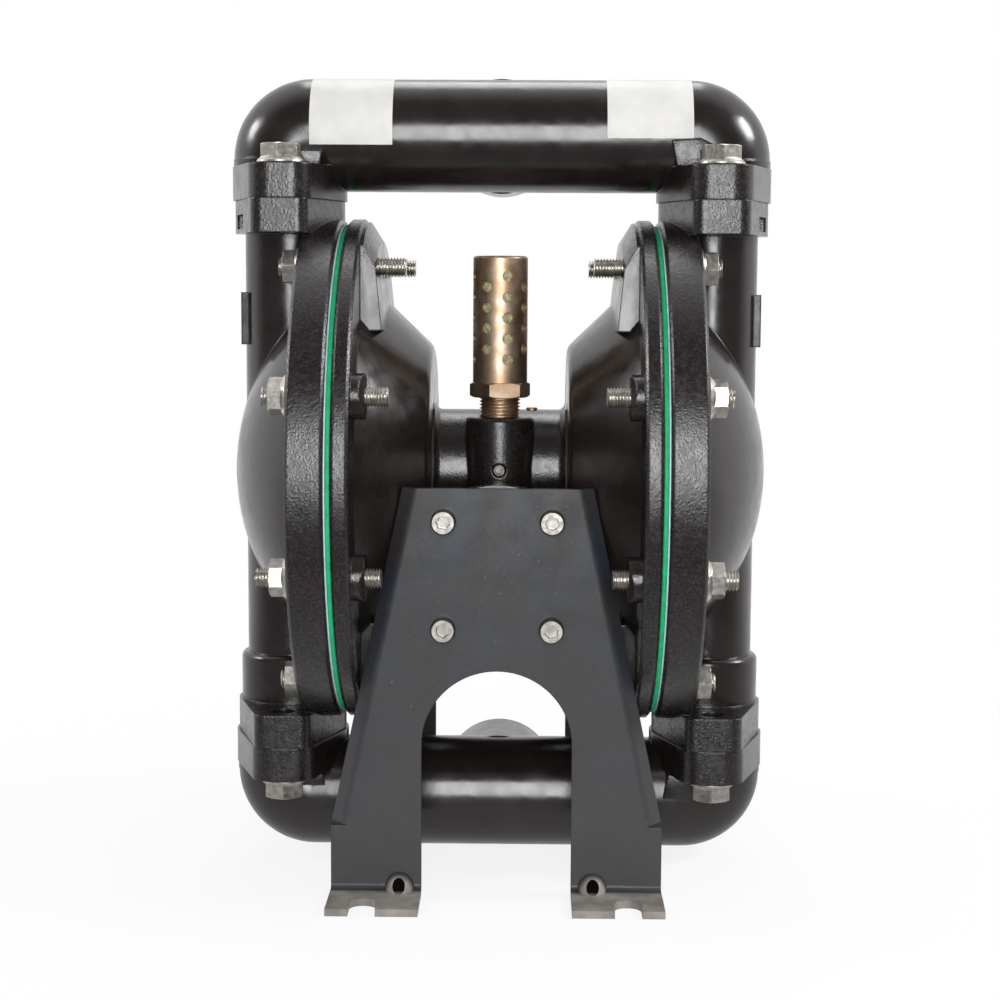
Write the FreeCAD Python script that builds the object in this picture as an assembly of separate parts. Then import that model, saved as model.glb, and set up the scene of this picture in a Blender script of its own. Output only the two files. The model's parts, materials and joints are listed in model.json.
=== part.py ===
import FreeCAD, Part
import math
import os

# Air operated double diaphragm pump, one inch class, in millimetres.
# The model is drawn about the diaphragm axis, which runs along X, and is lifted by
# AXIS_HEIGHT when it is written, so the origin lies on the floor under the pump's middle.
# The front of the pump faces -Y.

V = FreeCAD.Vector
X = V(1, 0, 0)
Y = V(0, 1, 0)
Z = V(0, 0, 1)

# Overall layout
VALVE_X = 89.7               # check valve stacks, each side of the middle
CLAMP_TO_PARTING = 7.4       # clamp rim to the joint between fluid cap and manifold
PARTING_TO_TUBE = 27.6       # that joint to the manifold's centre line
FLOOR_GAP = 3.5              # under the lower manifold

# Clearances
SLIP = 0.05                  # radial, shaft or spool in its bush, thread in its tapped hole
HOLE_SLACK = 0.5             # radial, bolt in a plain hole
FIT = 0.1                    # radial, a ring or seat dropped in its recess
BALL_GAP = 0.3               # ball to its seat and to its stop
STOP_GAP = 0.3               # moving piece to what stops it

# Clamp joint between the caps, with the diaphragm rim in it
CLAMP_R = 106.0
CLAMP_EDGE = 1.2             # chamfer on the clamp rims
AIR_FACE_X = 63.5            # joint face of the air cap
BACKUP_T = 2.0               # green rubber diaphragm at its rim
OVERLAY_T = 0.6              # pale overlay diaphragm on the fluid side
FLUID_FLANGE_T = 14.9
BOLT_EDGE = 13.35            # rim to bolt circle
CLAMP_BOLTS = 8
DISC_SINK = 2.3              # the diaphragm's edge lies this far inside the rims
STUD_R = 4.0                 # M8
STUD_LONG = 52.0
STUD_SHORT = 49.0
STUD_END_TOP = 90.3          # outer ends of the studs, as they were screwed in
STUD_END_UPPER = 91.3
STUD_END_LOWER = 94.0
STUD_END_BOTTOM = 90.4
NUT_FLATS = 13.0
NUT_HEIGHT = 7.5
NUT_FLANGE_R = 8.9
NUT_FLANGE_T = 1.8
NUT_TURN = 17.0              # degrees from one nut to the next, as hand tightened

# Fluid cap
DOME_STEP = 10.4             # the dome's radius is this much under the rim's
DOME_APEX_X = 112.6
DOME_WALL = 5.5
COLUMN_R = 19.1
COLUMN_BORE_R = 14.0
CAGE_R = 21.9                # swelling round the inlet ball
CAGE_HEIGHT = 34.4
CAGE_ROUND = 2.6
CAP_FLANGE_T = 13.9
CAP_FLANGE_R = 23.2
EAR_WIDTH = 21.6
EAR_REACH = 43.8             # ear ends, front and back of the stack
EAR_ROUND = 5.0
POCKET_DROP = (12.2, 6.2)    # cast pocket in the outer side of the upper joint flange
POCKET_X = (12.8, 21.0)      # from the stack's axis
POCKET_Y = (-24.0, -6.0)
PAD_Z = (53.0, 75.0)         # plain raised pad on the column's outer side
PAD_Y = 9.0
PAD_PROUD = 1.0

# Manifolds
TUBE_R = 23.5
TUBE_WALL = 4.5
ELBOW_R = 10.3               # centre line radius of the tight cast elbows
LEG_R = 23.8
MANIFOLD_FLANGE_T = 14.1
MANIFOLD_FLANGE_R = 24.2
MANIFOLD_EAR_ROUND = 9.0
PORT_R = 15.9                # one inch taper pipe thread, drawn as its mean bore
PORT_COLLAR_R = 24.0
PORT_FACE_Y = 36.0
MANIFOLD_BOLT_R = 5.0        # M10
MANIFOLD_BOLT_Y = 34.0
MANIFOLD_BOLT_LENGTH = 24.0
BOLT_FLATS = 15.0
BOLT_HEAD_T = 8.0
BOLT_FLANGE_R = 9.8
BOLT_FLANGE_T = 2.4

# Check valves
BALL_R = 14.0
BALL_LIFT = 8.0
CHAMBER_R = 18.0             # bore round the inlet ball
SEAT_R = 18.5
SEAT_T = 8.0
SEAT_BORE_R = 11.0
SEAT_CONE_T = 3.0
SEAT_SEAL_T = 1.8            # square section of the seal ring
SHOULDER_R = 15.5            # under the inlet seat
RIB_T = 3.0
RIB_REACH_R = 7.0            # the ribs' stops end this far from the ball's axis
RIB_STOP_T = 5.0

# Air cap
HUB_FACE_X = 28.3
HUB_ROUND = 5.0
CONE_START_R = 52.3          # at the hub face, before its round edge
CONE_SLOPE = 0.962           # radius gained per length
CONE_WALL = 8.0              # measured along the radius
HUB_WALL = 7.2
AIR_FLANGE_X = 56.5          # back of the clamp flange
STUD_PAD_X = 46.6            # face of the pads over the top and bottom studs
STUD_PAD_DRAFT = 3.6         # the face leans back this far towards the rim
STUD_PAD_Y = 46.0
STUD_PAD_Z = 60.0
BOSS_X = 51.2                # face of the bosses on the other studs
BOSS_R = 9.0
CAP_SCREW_CIRCLE = 19.0
CAP_SCREW_R = 3.0            # M6
CAP_SCREW_HEAD_R = 5.0
CAP_SCREW_HEAD_T = 6.0
CAP_SCREW_LENGTH = 16.0
SOCKET_FLATS = 5.0
SOCKET_DEPTH = 3.2

# Centre body
GASKET_T = 0.8
BARREL_R = 25.6
BARREL_FLARE = 3.0
HOUSING_Z = -36.7            # spool axis, which runs along Y
HOUSING_R = 27.0
HOUSING_FLANGE_R = 36.0
HOUSING_FLANGE_T = 4.5
BRACKET_SCREW_SPACING = 43.3
LUG_R = 5.4
LUG_LENGTH = 14.0
EXHAUST_Y = -20.0
EXHAUST_BOSS_R = 14.4
EXHAUST_TOP_Z = 24.0
BOSS_ROUND = 2.5
INLET_Y = 20.0
INLET_BOSS_R = 11.5
INLET_Z = 11.0
INLET_FACE_Y = 46.0
INLET_PORT_R = 6.6           # quarter inch taper pipe thread
INLET_PORT_DEPTH = 12.0
INLET_DUCT_R = 4.5
EXHAUST_DUCT_R = 6.0
THREAD_DEPTH = 14.0
PASSAGE_R = 2.5
PASSAGE_Y = 8.0
PASSAGE_Z = -17.5

# Diaphragm rod and plates
ROD_R = 8.0
ROD_STROKE = 9.0             # each way
ROD_BUSH_R = 11.0
ROD_BUSH_X = (14.0, 24.0)
ROD_SEAL_R = 12.0
ROD_BORE_R = 9.0
PLATE_R = 42.0
PLATE_T = 5.0
PLATE_RIM_T = 2.5
PLATE_HUB_R = 16.0
ROD_BOLT_R = 5.0             # M10
ROD_BOLT_FLATS = 17.0
ROD_BOLT_HEAD_T = 6.4
ROD_BOLT_DEPTH = 22.0
FOLD_CLEAR = 2.0             # plate edge to the fold's start
FOLD_EDGE = 1.5              # the fold's end to the chamber's mouth
FOLD_RISE = 9.0

# Pilot rod above the diaphragm rod
PILOT_R = 3.0
PILOT_Z = 17.2
PILOT_TRAVEL = 5.0
PILOT_BUSH_R = 4.5
PILOT_BUSH_LENGTH = 7.5

# Air valve
SLEEVE_R = 15.0
SLEEVE_HALF = 50.2
SPOOL_R = 9.0
SPOOL_TRAVEL = 4.0
SPOOL_NECK_R = 5.8
SPOOL_LANDS = ((-20.0, -9.0), (9.0, 20.0))
SPOOL_END_LAND = 8.0
SLEEVE_SEALS_Y = (-34.0, -14.0, 14.0, 34.0)
VALVE_SEAL_T = 1.8           # square section of the seal rings
COVER_T = 4.0

# Exhaust muffler
MUFFLER_THREAD_R = 8.55      # three eighths taper pipe thread
MUFFLER_HEX_Z = (32.0, 38.2)
MUFFLER_HEX_FLATS = 22.2
MUFFLER_TURN = 11.0
MUFFLER_R = 11.35
MUFFLER_WALL = 1.2
MUFFLER_TOP_Z = 90.6
MUFFLER_BORE_R = 6.0
MUFFLER_SPIGOT_T = 6.0
MUFFLER_HOLE_R = 2.2
MUFFLER_PITCH = 8.55
MUFFLER_ROWS = 5
MUFFLER_FIRST_Z = 48.0
MUFFLER_COLUMNS = 8
MUFFLER_COLUMN_TURN = -73.6

# Brackets, pressed from black sheet
SHEET_T = 3.0
BRACKET_FACE_Y = 68.0
BRACKET_TOP_Z = -1.9
BRACKET_TOP_HALF = 31.5
FLARE_END_Z = -139.0
FLARE_END_HALF = 60.3
LEG_OUTER = 66.9
LEG_INNER = 30.3
ARCH_CENTRE_Z = -105.8
FOOT_LENGTH = 28.0           # from the bracket's face
BEND_R = 2.0                 # inside the bends
LIP_ANGLE = 42.0
LIP_LENGTH = 4.4
SLOT_R = 5.4
SLOT_X = 52.5
SLOT_DEPTH = 8.4             # centre of the slot's round end, from the foot's end
GUSSET_X = 39.0
GUSSET_WIDTH = 6.0
GUSSET_HEIGHT = 8.0
BRACKET_SCREW_R = 3.0        # M6
BRACKET_SCREW_HEAD_R = 5.0
BRACKET_SCREW_HEAD_T = 6.0
BRACKET_SCREW_LENGTH = 20.0

# Small plugs
SET_SCREW_R = 2.9
SET_SCREW_Z = 2.3
SET_SCREW_LENGTH = 6.0
SET_SCREW_FLATS = 3.0
PLUG_X = 13.4
PLUG_R = 2.4
PLUG_TOP = 1.0
PLUG_DEPTH = 3.0

# Places that follow from the sizes above
PARTING_Z = CLAMP_R + CLAMP_TO_PARTING
TUBE_Z = PARTING_Z + PARTING_TO_TUBE
AXIS_HEIGHT = TUBE_Z + TUBE_R + FLOOR_GAP
BOLT_CIRCLE_R = CLAMP_R - BOLT_EDGE
DISC_R = CLAMP_R - DISC_SINK
DOME_R = CLAMP_R - DOME_STEP
CAGE_TOP_Z = CAGE_HEIGHT - PARTING_Z
FLUID_FACE_X = AIR_FACE_X + BACKUP_T + OVERLAY_T
NUT_SEAT_X = FLUID_FACE_X + FLUID_FLANGE_T
DOME_CENTRE_X = DOME_APEX_X - DOME_R
CHAMBER_INNER_R = DOME_R - DOME_WALL
CHAMBER_MOUTH_R = math.sqrt(CHAMBER_INNER_R ** 2 - (FLUID_FACE_X - DOME_CENTRE_X) ** 2)
FOLD_START_R = PLATE_R + FOLD_CLEAR
FOLD_END_R = CHAMBER_MOUTH_R - FOLD_EDGE
BORE_R = TUBE_R - TUBE_WALL
BARREL_HALF = HUB_FACE_X - GASKET_T
CAP_FLOOR_X = HUB_FACE_X + HUB_WALL
PLATE_BACK_X = AIR_FACE_X - PLATE_T
PLATE_FRONT_X = FLUID_FACE_X + PLATE_T
BALL_HEIGHT = math.sqrt((BALL_R + BALL_GAP) ** 2 - SEAT_BORE_R ** 2) - SEAT_CONE_T
STOP_HEIGHT = BALL_HEIGHT + BALL_LIFT + math.sqrt((BALL_R + BALL_GAP) ** 2 - RIB_REACH_R ** 2)
FOOT_REACH_Y = BRACKET_FACE_Y + FOOT_LENGTH
SLOT_Y = FOOT_REACH_Y - SLOT_DEPTH
COVER_FACE_Y = BRACKET_FACE_Y - SHEET_T
HOUSING_HALF = COVER_FACE_Y - COVER_T
SPOOL_HALF = SLEEVE_HALF - STOP_GAP - SPOOL_TRAVEL
COVER_SEAL_Y = (SLEEVE_HALF + HOUSING_HALF) / 2
PILOT_HALF = PLATE_BACK_X - ROD_STROKE + PILOT_TRAVEL - STOP_GAP


def rod(radius, start, direction, length):
    return Part.makeCylinder(radius, length, V(*start), direction)


def ring(outer, inner, start, direction, length):
    return rod(outer, start, direction, length).cut(rod(inner, start, direction, length))


def block(x, y, z):
    return Part.makeBox(x[1] - x[0], y[1] - y[0], z[1] - z[0], V(x[0], y[0], z[0]))


def fuse(*shapes):
    return shapes[0].multiFuse(list(shapes[1:])).removeSplitter()


def cut(shape, *tools):
    return shape.cut(list(tools))


def hexagon(flats, start, direction, height, turn=0.0):
    """A six-sided prism from start along direction, turned about its own axis."""
    corner = flats / math.sqrt(3)
    angles = [math.radians(turn + 60 * i) for i in range(7)]
    points = [V(corner * math.cos(a), corner * math.sin(a), 0) for a in angles]
    prism = Part.Face(Part.makePolygon(points)).extrude(V(0, 0, height))
    prism.Placement = FreeCAD.Placement(V(*start), FreeCAD.Rotation(Z, direction))
    return prism


def outline(place, start, *steps):
    """A closed face: a step is a point, or a pair of points for an arc's middle and end."""
    edges = []
    here = place(*start)
    for step in steps + (start,):
        if isinstance(step[0], tuple):
            end = place(*step[1])
            edges.append(Part.Arc(here, place(*step[0]), end).toShape())
        else:
            end = place(*step)
            if here.distanceToPoint(end) < 1e-6:
                continue
            edges.append(Part.LineSegment(here, end).toShape())
        here = end
    return Part.Face(Part.Wire(edges))


def along_x(x, radius):
    return V(x, 0, radius)


def turned_x(start, *steps):
    """A solid turned about the diaphragm axis from an outline of (x, radius)."""
    return outline(along_x, start, *steps).revolve(V(0, 0, 0), X, 360)


def mirrored(shape, normal):
    return shape.mirror(V(0, 0, 0), normal)


def both_sides(piece):
    return [mirrored(piece, X), piece]


def write(name, *solids):
    """One STEP file per node; several identical solids share one node."""
    shape = solids[0] if len(solids) == 1 else Part.makeCompound(list(solids))
    shape = shape.copy()
    shape.translate(V(0, 0, AXIS_HEIGHT))
    shape.exportStep("parts/" + name + ".step")


def write_sides(name, piece):
    left, right = both_sides(piece)
    write("left_" + name, left)
    write("right_" + name, right)


def write_turned(name, piece):
    """The same piece on both sides, turned half a turn about the upright for the left."""
    left = piece.copy()
    left.rotate(V(0, 0, 0), Z, 180)
    write("left_" + name, left)
    write("right_" + name, piece)


def bolt_places():
    """Angle, y and z of the clamp studs on their circle."""
    step = 360.0 / CLAMP_BOLTS
    angles = [math.radians(step / 2 + step * i) for i in range(CLAMP_BOLTS)]
    return [(a, BOLT_CIRCLE_R * math.cos(a), BOLT_CIRCLE_R * math.sin(a)) for a in angles]


# Check valves, drawn on the right-hand stack

def ball_ribs(base_z, wall_r, angles):
    """Ribs that guide the ball and stop its lift, radially round the stack's axis."""
    ribs = []
    for angle in angles:
        guide = block((BALL_R + BALL_GAP, wall_r), (-RIB_T / 2, RIB_T / 2),
                      (base_z, base_z + STOP_HEIGHT + RIB_STOP_T))
        stop = block((RIB_REACH_R, wall_r), (-RIB_T / 2, RIB_T / 2),
                     (base_z + STOP_HEIGHT, base_z + STOP_HEIGHT + RIB_STOP_T))
        rib = fuse(guide, stop)
        rib.rotate(V(0, 0, 0), Z, angle)
        rib.translate(V(VALVE_X, 0, 0))
        ribs.append(rib)
    return ribs


def seat(top_z):
    low = top_z - SEAT_T
    body = rod(SEAT_R, (VALVE_X, 0, low), Z, SEAT_T)
    bore = rod(SEAT_BORE_R, (VALVE_X, 0, low), Z, SEAT_T)
    cone = Part.makeCone(SEAT_BORE_R, SEAT_BORE_R + SEAT_CONE_T, SEAT_CONE_T, V(VALVE_X, 0, top_z - SEAT_CONE_T), Z)
    rebate_z = top_z - SEAT_SEAL_T - FIT
    rebate = ring(SEAT_R + 1, SEAT_R - SEAT_SEAL_T - FIT, (VALVE_X, 0, rebate_z), Z, SEAT_T)
    return cut(body, bore, cone, rebate)


def seat_seal(top_z):
    return ring(SEAT_R, SEAT_R - SEAT_SEAL_T, (VALVE_X, 0, top_z - SEAT_SEAL_T), Z, SEAT_SEAL_T)


def ball(base_z):
    return Part.makeSphere(BALL_R, V(VALVE_X, 0, base_z + BALL_HEIGHT))


# Joint flanges with their ears

def eared_flange(radius, low, height, rounding):
    """A disc with two ears, whose flanks run straight from the ears' ends to the disc."""
    half = EAR_WIDTH / 2
    spread = math.acos(radius / math.hypot(half, EAR_REACH)) - math.atan2(EAR_REACH, half)
    touch = (radius * math.cos(spread), -radius * math.sin(spread))
    quarter = [(half, EAR_REACH), touch]
    round_trip = quarter + [(x, -y) for x, y in reversed(quarter)]
    round_trip += [(-x, -y) for x, y in quarter] + [(-x, y) for x, y in reversed(quarter)]
    points = [V(VALVE_X + x, y, low) for x, y in round_trip]
    ears = Part.Face(Part.makePolygon(points + points[:1])).extrude(V(0, 0, height))
    ends = [e for e in ears.Edges
            if abs(e.tangentAt(e.FirstParameter).z) > 0.9 and abs(e.CenterOfMass.y) > EAR_REACH - 1]
    return fuse(rod(radius, (VALVE_X, 0, low), Z, height), ears.makeFillet(rounding, ends))


def ear_holes(radius, low, high):
    return [rod(radius, (VALVE_X, y, low), Z, high - low) for y in (-MANIFOLD_BOLT_Y, MANIFOLD_BOLT_Y)]


# Fluid cap, right side

def fluid_cap():
    edge = CLAMP_EDGE
    dome_r = math.sqrt(DOME_R ** 2 - (NUT_SEAT_X - DOME_CENTRE_X) ** 2)
    half = math.asin(dome_r / DOME_R) / 2
    dome_mid = (DOME_CENTRE_X + DOME_R * math.cos(half), DOME_R * math.sin(half))
    shell = turned_x((FLUID_FACE_X, 0), (FLUID_FACE_X, CLAMP_R - edge), (FLUID_FACE_X + edge, CLAMP_R),
                     (NUT_SEAT_X - edge, CLAMP_R), (NUT_SEAT_X, CLAMP_R - edge), (NUT_SEAT_X, dome_r),
                     (dome_mid, (DOME_APEX_X, 0)))
    column = rod(COLUMN_R, (VALVE_X, 0, -PARTING_Z), Z, 2 * PARTING_Z)
    cage = rod(CAGE_R, (VALVE_X, 0, -PARTING_Z), Z, PARTING_Z + CAGE_TOP_Z)
    cage_top = [e for e in cage.Edges if e.Closed and e.CenterOfMass.z > CAGE_TOP_Z - 1]
    cage = cage.makeFillet(CAGE_ROUND, cage_top)
    upper = eared_flange(CAP_FLANGE_R, PARTING_Z - CAP_FLANGE_T, CAP_FLANGE_T, EAR_ROUND)
    pocket = block([VALVE_X + x for x in POCKET_X], POCKET_Y, [PARTING_Z - z for z in POCKET_DROP])
    lower = eared_flange(CAP_FLANGE_R, -PARTING_Z, CAP_FLANGE_T, EAR_ROUND)
    pad = block((VALVE_X, VALVE_X + COLUMN_R + PAD_PROUD), (-PAD_Y, PAD_Y), PAD_Z)
    outer = fuse(shell, column, cage, upper.cut(pocket), lower, pad)

    mouth_x = FLUID_FACE_X - 1
    bowl_r = CHAMBER_MOUTH_R
    half = math.asin(bowl_r / CHAMBER_INNER_R) / 2
    bowl_mid = (DOME_CENTRE_X + CHAMBER_INNER_R * math.cos(half), CHAMBER_INNER_R * math.sin(half))
    bowl = turned_x((mouth_x, 0), (mouth_x, bowl_r), (FLUID_FACE_X, bowl_r),
                    (bowl_mid, (DOME_APEX_X - DOME_WALL, 0)))
    cage_z = -PARTING_Z + STOP_HEIGHT + RIB_STOP_T
    riser = rod(COLUMN_BORE_R, (VALVE_X, 0, -PARTING_Z), Z, 2 * PARTING_Z)
    chamber = rod(CHAMBER_R, (VALVE_X, 0, -PARTING_Z), Z, cage_z + PARTING_Z - 1)
    recess = rod(SEAT_R + FIT, (VALVE_X, 0, PARTING_Z - SEAT_T), Z, SEAT_T)
    hollow = outer.cut([bowl, riser, chamber, recess])
    ribs = [rib.common(outer) for rib in ball_ribs(-PARTING_Z, CHAMBER_R + 1, (0, 90, 180, 270))]
    stud_holes = [rod(STUD_R + HOLE_SLACK, (FLUID_FACE_X - 1, y, z), X, FLUID_FLANGE_T + 2)
                  for a, y, z in bolt_places()]
    tapped = ear_holes(MANIFOLD_BOLT_R + SLIP, PARTING_Z - CAP_FLANGE_T, PARTING_Z)
    tapped += ear_holes(MANIFOLD_BOLT_R + SLIP, -PARTING_Z, -PARTING_Z + CAP_FLANGE_T)
    return cut(fuse(hollow, *ribs), *(stud_holes + tapped))


# Air cap, right side

def cone_radius(x):
    return CONE_START_R + CONE_SLOPE * (x - HUB_FACE_X)


def air_cap():
    edge = CLAMP_EDGE
    tilt = math.atan(CONE_SLOPE)
    tangent = HUB_ROUND * math.tan((math.pi / 2 - tilt) / 2)
    arc_start = (HUB_FACE_X, CONE_START_R - tangent)
    arc_end = (HUB_FACE_X + tangent * math.cos(tilt), CONE_START_R + tangent * math.sin(tilt))
    turn = (math.pi / 2 - tilt) / 2
    arc_mid = (HUB_FACE_X + HUB_ROUND * (1 - math.cos(turn)), arc_start[1] + HUB_ROUND * math.sin(turn))
    shell = turned_x((HUB_FACE_X, 0), arc_start, (arc_mid, arc_end), (AIR_FLANGE_X, cone_radius(AIR_FLANGE_X)),
                     (AIR_FLANGE_X, CLAMP_R - edge), (AIR_FLANGE_X + edge, CLAMP_R),
                     (AIR_FACE_X - edge, CLAMP_R), (AIR_FACE_X, CLAMP_R - edge), (AIR_FACE_X, 0))
    rim = CLAMP_R - edge
    shoulder = STUD_PAD_X + STUD_PAD_DRAFT
    envelope = turned_x((STUD_PAD_X, 0), (STUD_PAD_X, STUD_PAD_Z + 6), (shoulder, BOLT_CIRCLE_R + STUD_R),
                        (AIR_FLANGE_X - edge, rim), (AIR_FACE_X, rim), (AIR_FACE_X, 0))
    pads = [block((STUD_PAD_X, AIR_FLANGE_X + 1), (-STUD_PAD_Y, STUD_PAD_Y), z)
            for z in ((STUD_PAD_Z, CLAMP_R), (-CLAMP_R, -STUD_PAD_Z))]
    bosses = []
    for a, y, z in bolt_places():
        if abs(y) > abs(z):
            bosses.append(rod(BOSS_R, (BOSS_X, y, z), X, AIR_FLANGE_X + 1 - BOSS_X))
    outer = fuse(shell, *[p.common(envelope) for p in pads + bosses])
    floor_r = cone_radius(CAP_FLOOR_X) - CONE_WALL
    cavity = turned_x((CAP_FLOOR_X, 0), (CAP_FLOOR_X, floor_r - HUB_ROUND),
                      (CAP_FLOOR_X + HUB_ROUND / 2, cone_radius(CAP_FLOOR_X + HUB_ROUND / 2) - CONE_WALL),
                      (AIR_FLANGE_X, cone_radius(AIR_FLANGE_X) - CONE_WALL), (AIR_FACE_X, CHAMBER_MOUTH_R),
                      (AIR_FACE_X + 1, CHAMBER_MOUTH_R), (AIR_FACE_X + 1, 0))
    wall = HUB_WALL + 2
    holes = [rod(ROD_R + 3, (HUB_FACE_X - 1, 0, 0), X, wall)]
    holes.append(rod(PILOT_R + 1, (HUB_FACE_X - 1, 0, PILOT_Z), X, wall))
    holes.append(rod(PASSAGE_R, (HUB_FACE_X - 1, PASSAGE_Y, PASSAGE_Z), X, wall))
    holes += [rod(CAP_SCREW_R + HOLE_SLACK, (HUB_FACE_X - 1, y, z), X, wall) for y, z in cap_screw_places()]
    holes += [rod(STUD_R + SLIP, (STUD_PAD_X - 1, y, z), X, AIR_FACE_X - STUD_PAD_X + 2)
              for a, y, z in bolt_places()]
    return cut(outer, cavity, *holes)


def cap_screw_places():
    half = CAP_SCREW_CIRCLE / math.sqrt(2)
    return [(y, z) for y in (-half, half) for z in (-half, half)]


def cap_screw(y, z):
    head = rod(CAP_SCREW_HEAD_R, (CAP_FLOOR_X, y, z), X, CAP_SCREW_HEAD_T)
    shank = rod(CAP_SCREW_R, (CAP_FLOOR_X, y, z), V(-1, 0, 0), CAP_SCREW_LENGTH)
    socket = hexagon(SOCKET_FLATS, (CAP_FLOOR_X + CAP_SCREW_HEAD_T - SOCKET_DEPTH, y, z), X, SOCKET_DEPTH + 1)
    return fuse(head, shank).cut(socket)


def cap_gasket():
    sheet = rod(BARREL_R - FIT, (BARREL_HALF, 0, 0), X, GASKET_T)
    holes = [rod(ROD_SEAL_R, (BARREL_HALF - 1, 0, 0), X, GASKET_T + 2)]
    holes.append(rod(PILOT_BUSH_R, (BARREL_HALF - 1, 0, PILOT_Z), X, GASKET_T + 2))
    holes.append(rod(PASSAGE_R, (BARREL_HALF - 1, PASSAGE_Y, PASSAGE_Z), X, GASKET_T + 2))
    holes += [rod(CAP_SCREW_R + HOLE_SLACK, (BARREL_HALF - 1, y, z), X, GASKET_T + 2) for y, z in cap_screw_places()]
    return cut(sheet, *holes)


# Centre body with barrel, spool housing and the two bosses

def bracket_screw_places():
    half = BRACKET_SCREW_SPACING / 2
    return [(x, HOUSING_Z + z) for x in (-half, half) for z in (-half, half)]


def rounded_boss(radius, y, top_z):
    boss = rod(radius, (0, y, HOUSING_Z), Z, top_z - HOUSING_Z)
    rim = [e for e in boss.Edges if e.Closed and e.CenterOfMass.z > top_z - 0.1]
    return boss.makeFillet(BOSS_ROUND, rim)


def center_body():
    flare = BARREL_FLARE
    bend = flare * (1 - math.sqrt(0.5))
    wide = BARREL_R + flare
    waist = BARREL_HALF - flare
    barrel = turned_x((-BARREL_HALF, 0), (-BARREL_HALF, wide),
                      ((-BARREL_HALF + bend, BARREL_R + bend), (-waist, BARREL_R)), (waist, BARREL_R),
                      ((BARREL_HALF - bend, BARREL_R + bend), (BARREL_HALF, wide)), (BARREL_HALF, 0))
    flange_high = HOUSING_HALF
    flange_low = HOUSING_HALF - HOUSING_FLANGE_T
    housing = rod(HOUSING_R, (0, -flange_high, HOUSING_Z), Y, 2 * flange_high)
    flanges = [rod(HOUSING_FLANGE_R, (0, y, HOUSING_Z), Y, flange_high - flange_low)
               for y in (-flange_high, flange_low)]
    lugs = [rod(LUG_R, (x, y, z), Y, LUG_LENGTH)
            for x, z in bracket_screw_places() for y in (-flange_high, flange_high - LUG_LENGTH)]
    exhaust = rounded_boss(EXHAUST_BOSS_R, EXHAUST_Y, EXHAUST_TOP_Z)
    inlet = rounded_boss(INLET_BOSS_R, INLET_Y, INLET_Z + INLET_BOSS_R)
    inlet_neck = rod(INLET_BOSS_R, (0, INLET_Y, INLET_Z), Y, INLET_FACE_Y - INLET_Y)
    neck_rim = [e for e in inlet_neck.Edges if e.Closed and e.CenterOfMass.y > INLET_FACE_Y - 0.1]
    inlet_neck = inlet_neck.makeFillet(BOSS_ROUND, neck_rim)
    outer = fuse(barrel, housing, exhaust, inlet, inlet_neck, *(flanges + lugs))

    holes = [rod(ROD_BORE_R, (-BARREL_HALF, 0, 0), X, 2 * BARREL_HALF)]
    holes.append(rod(PILOT_R + 1, (-BARREL_HALF, 0, PILOT_Z), X, 2 * BARREL_HALF))
    for side in (-1, 1):
        out = V(side, 0, 0)
        start = side * ROD_BUSH_X[0]
        holes.append(rod(ROD_BUSH_R + FIT, (start, 0, 0), out, BARREL_HALF - ROD_BUSH_X[0]))
        holes.append(rod(ROD_SEAL_R + FIT, (side * ROD_BUSH_X[1], 0, 0), out, BARREL_HALF - ROD_BUSH_X[1]))
        holes.append(rod(PILOT_BUSH_R + FIT, (side * (BARREL_HALF - PILOT_BUSH_LENGTH), 0, PILOT_Z), out,
                         PILOT_BUSH_LENGTH))
        holes.append(rod(PASSAGE_R, (0, side * PASSAGE_Y, PASSAGE_Z), out, BARREL_HALF))
        holes.append(rod(PASSAGE_R, (0, side * PASSAGE_Y, HOUSING_Z), Z, PASSAGE_Z - HOUSING_Z))
        for y, z in cap_screw_places():
            holes.append(rod(CAP_SCREW_R + SLIP, (side * (BARREL_HALF - CAP_SCREW_LENGTH + HUB_WALL - 2), y, z), out,
                             CAP_SCREW_LENGTH))
        for x, z in bracket_screw_places():
            holes.append(rod(BRACKET_SCREW_R + SLIP, (x, side * flange_high, z), V(0, -side, 0), LUG_LENGTH))
    holes.append(rod(SLEEVE_R, (0, -flange_high, HOUSING_Z), Y, 2 * flange_high))
    holes.append(rod(EXHAUST_DUCT_R, (0, EXHAUST_Y, HOUSING_Z), Z, EXHAUST_TOP_Z - HOUSING_Z))
    holes.append(rod(MUFFLER_THREAD_R + FIT, (0, EXHAUST_Y, EXHAUST_TOP_Z - THREAD_DEPTH), Z, THREAD_DEPTH))
    holes.append(rod(INLET_DUCT_R, (0, INLET_Y, HOUSING_Z), Z, INLET_Z - HOUSING_Z))
    holes.append(rod(INLET_DUCT_R, (0, INLET_Y, INLET_Z), Y, INLET_FACE_Y - INLET_Y))
    holes.append(rod(INLET_PORT_R, (0, INLET_FACE_Y - INLET_PORT_DEPTH, INLET_Z), Y, INLET_PORT_DEPTH))
    holes.append(rod(SET_SCREW_R + SLIP, (0, EXHAUST_Y - EXHAUST_BOSS_R, SET_SCREW_Z), Y, EXHAUST_BOSS_R))
    holes.append(rod(PLUG_R + SLIP, (PLUG_X, 0, BARREL_R - PLUG_DEPTH), Z, PLUG_DEPTH + 1))
    return cut(outer, *holes)


def boss_set_screw():
    front = EXHAUST_Y - EXHAUST_BOSS_R - 0.3
    screw = rod(SET_SCREW_R, (0, front, SET_SCREW_Z), Y, SET_SCREW_LENGTH)
    return screw.cut(hexagon(SET_SCREW_FLATS, (0, front, SET_SCREW_Z), Y, SET_SCREW_LENGTH / 2))


def barrel_plug():
    plug = rod(PLUG_R, (PLUG_X, 0, BARREL_R - PLUG_DEPTH), Z, PLUG_DEPTH + PLUG_TOP)
    rim = [e for e in plug.Edges if e.Closed and e.CenterOfMass.z > BARREL_R]
    return plug.makeFillet(PLUG_TOP * 0.8, rim)


# Diaphragms, plates, rod and pilot rod

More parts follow.
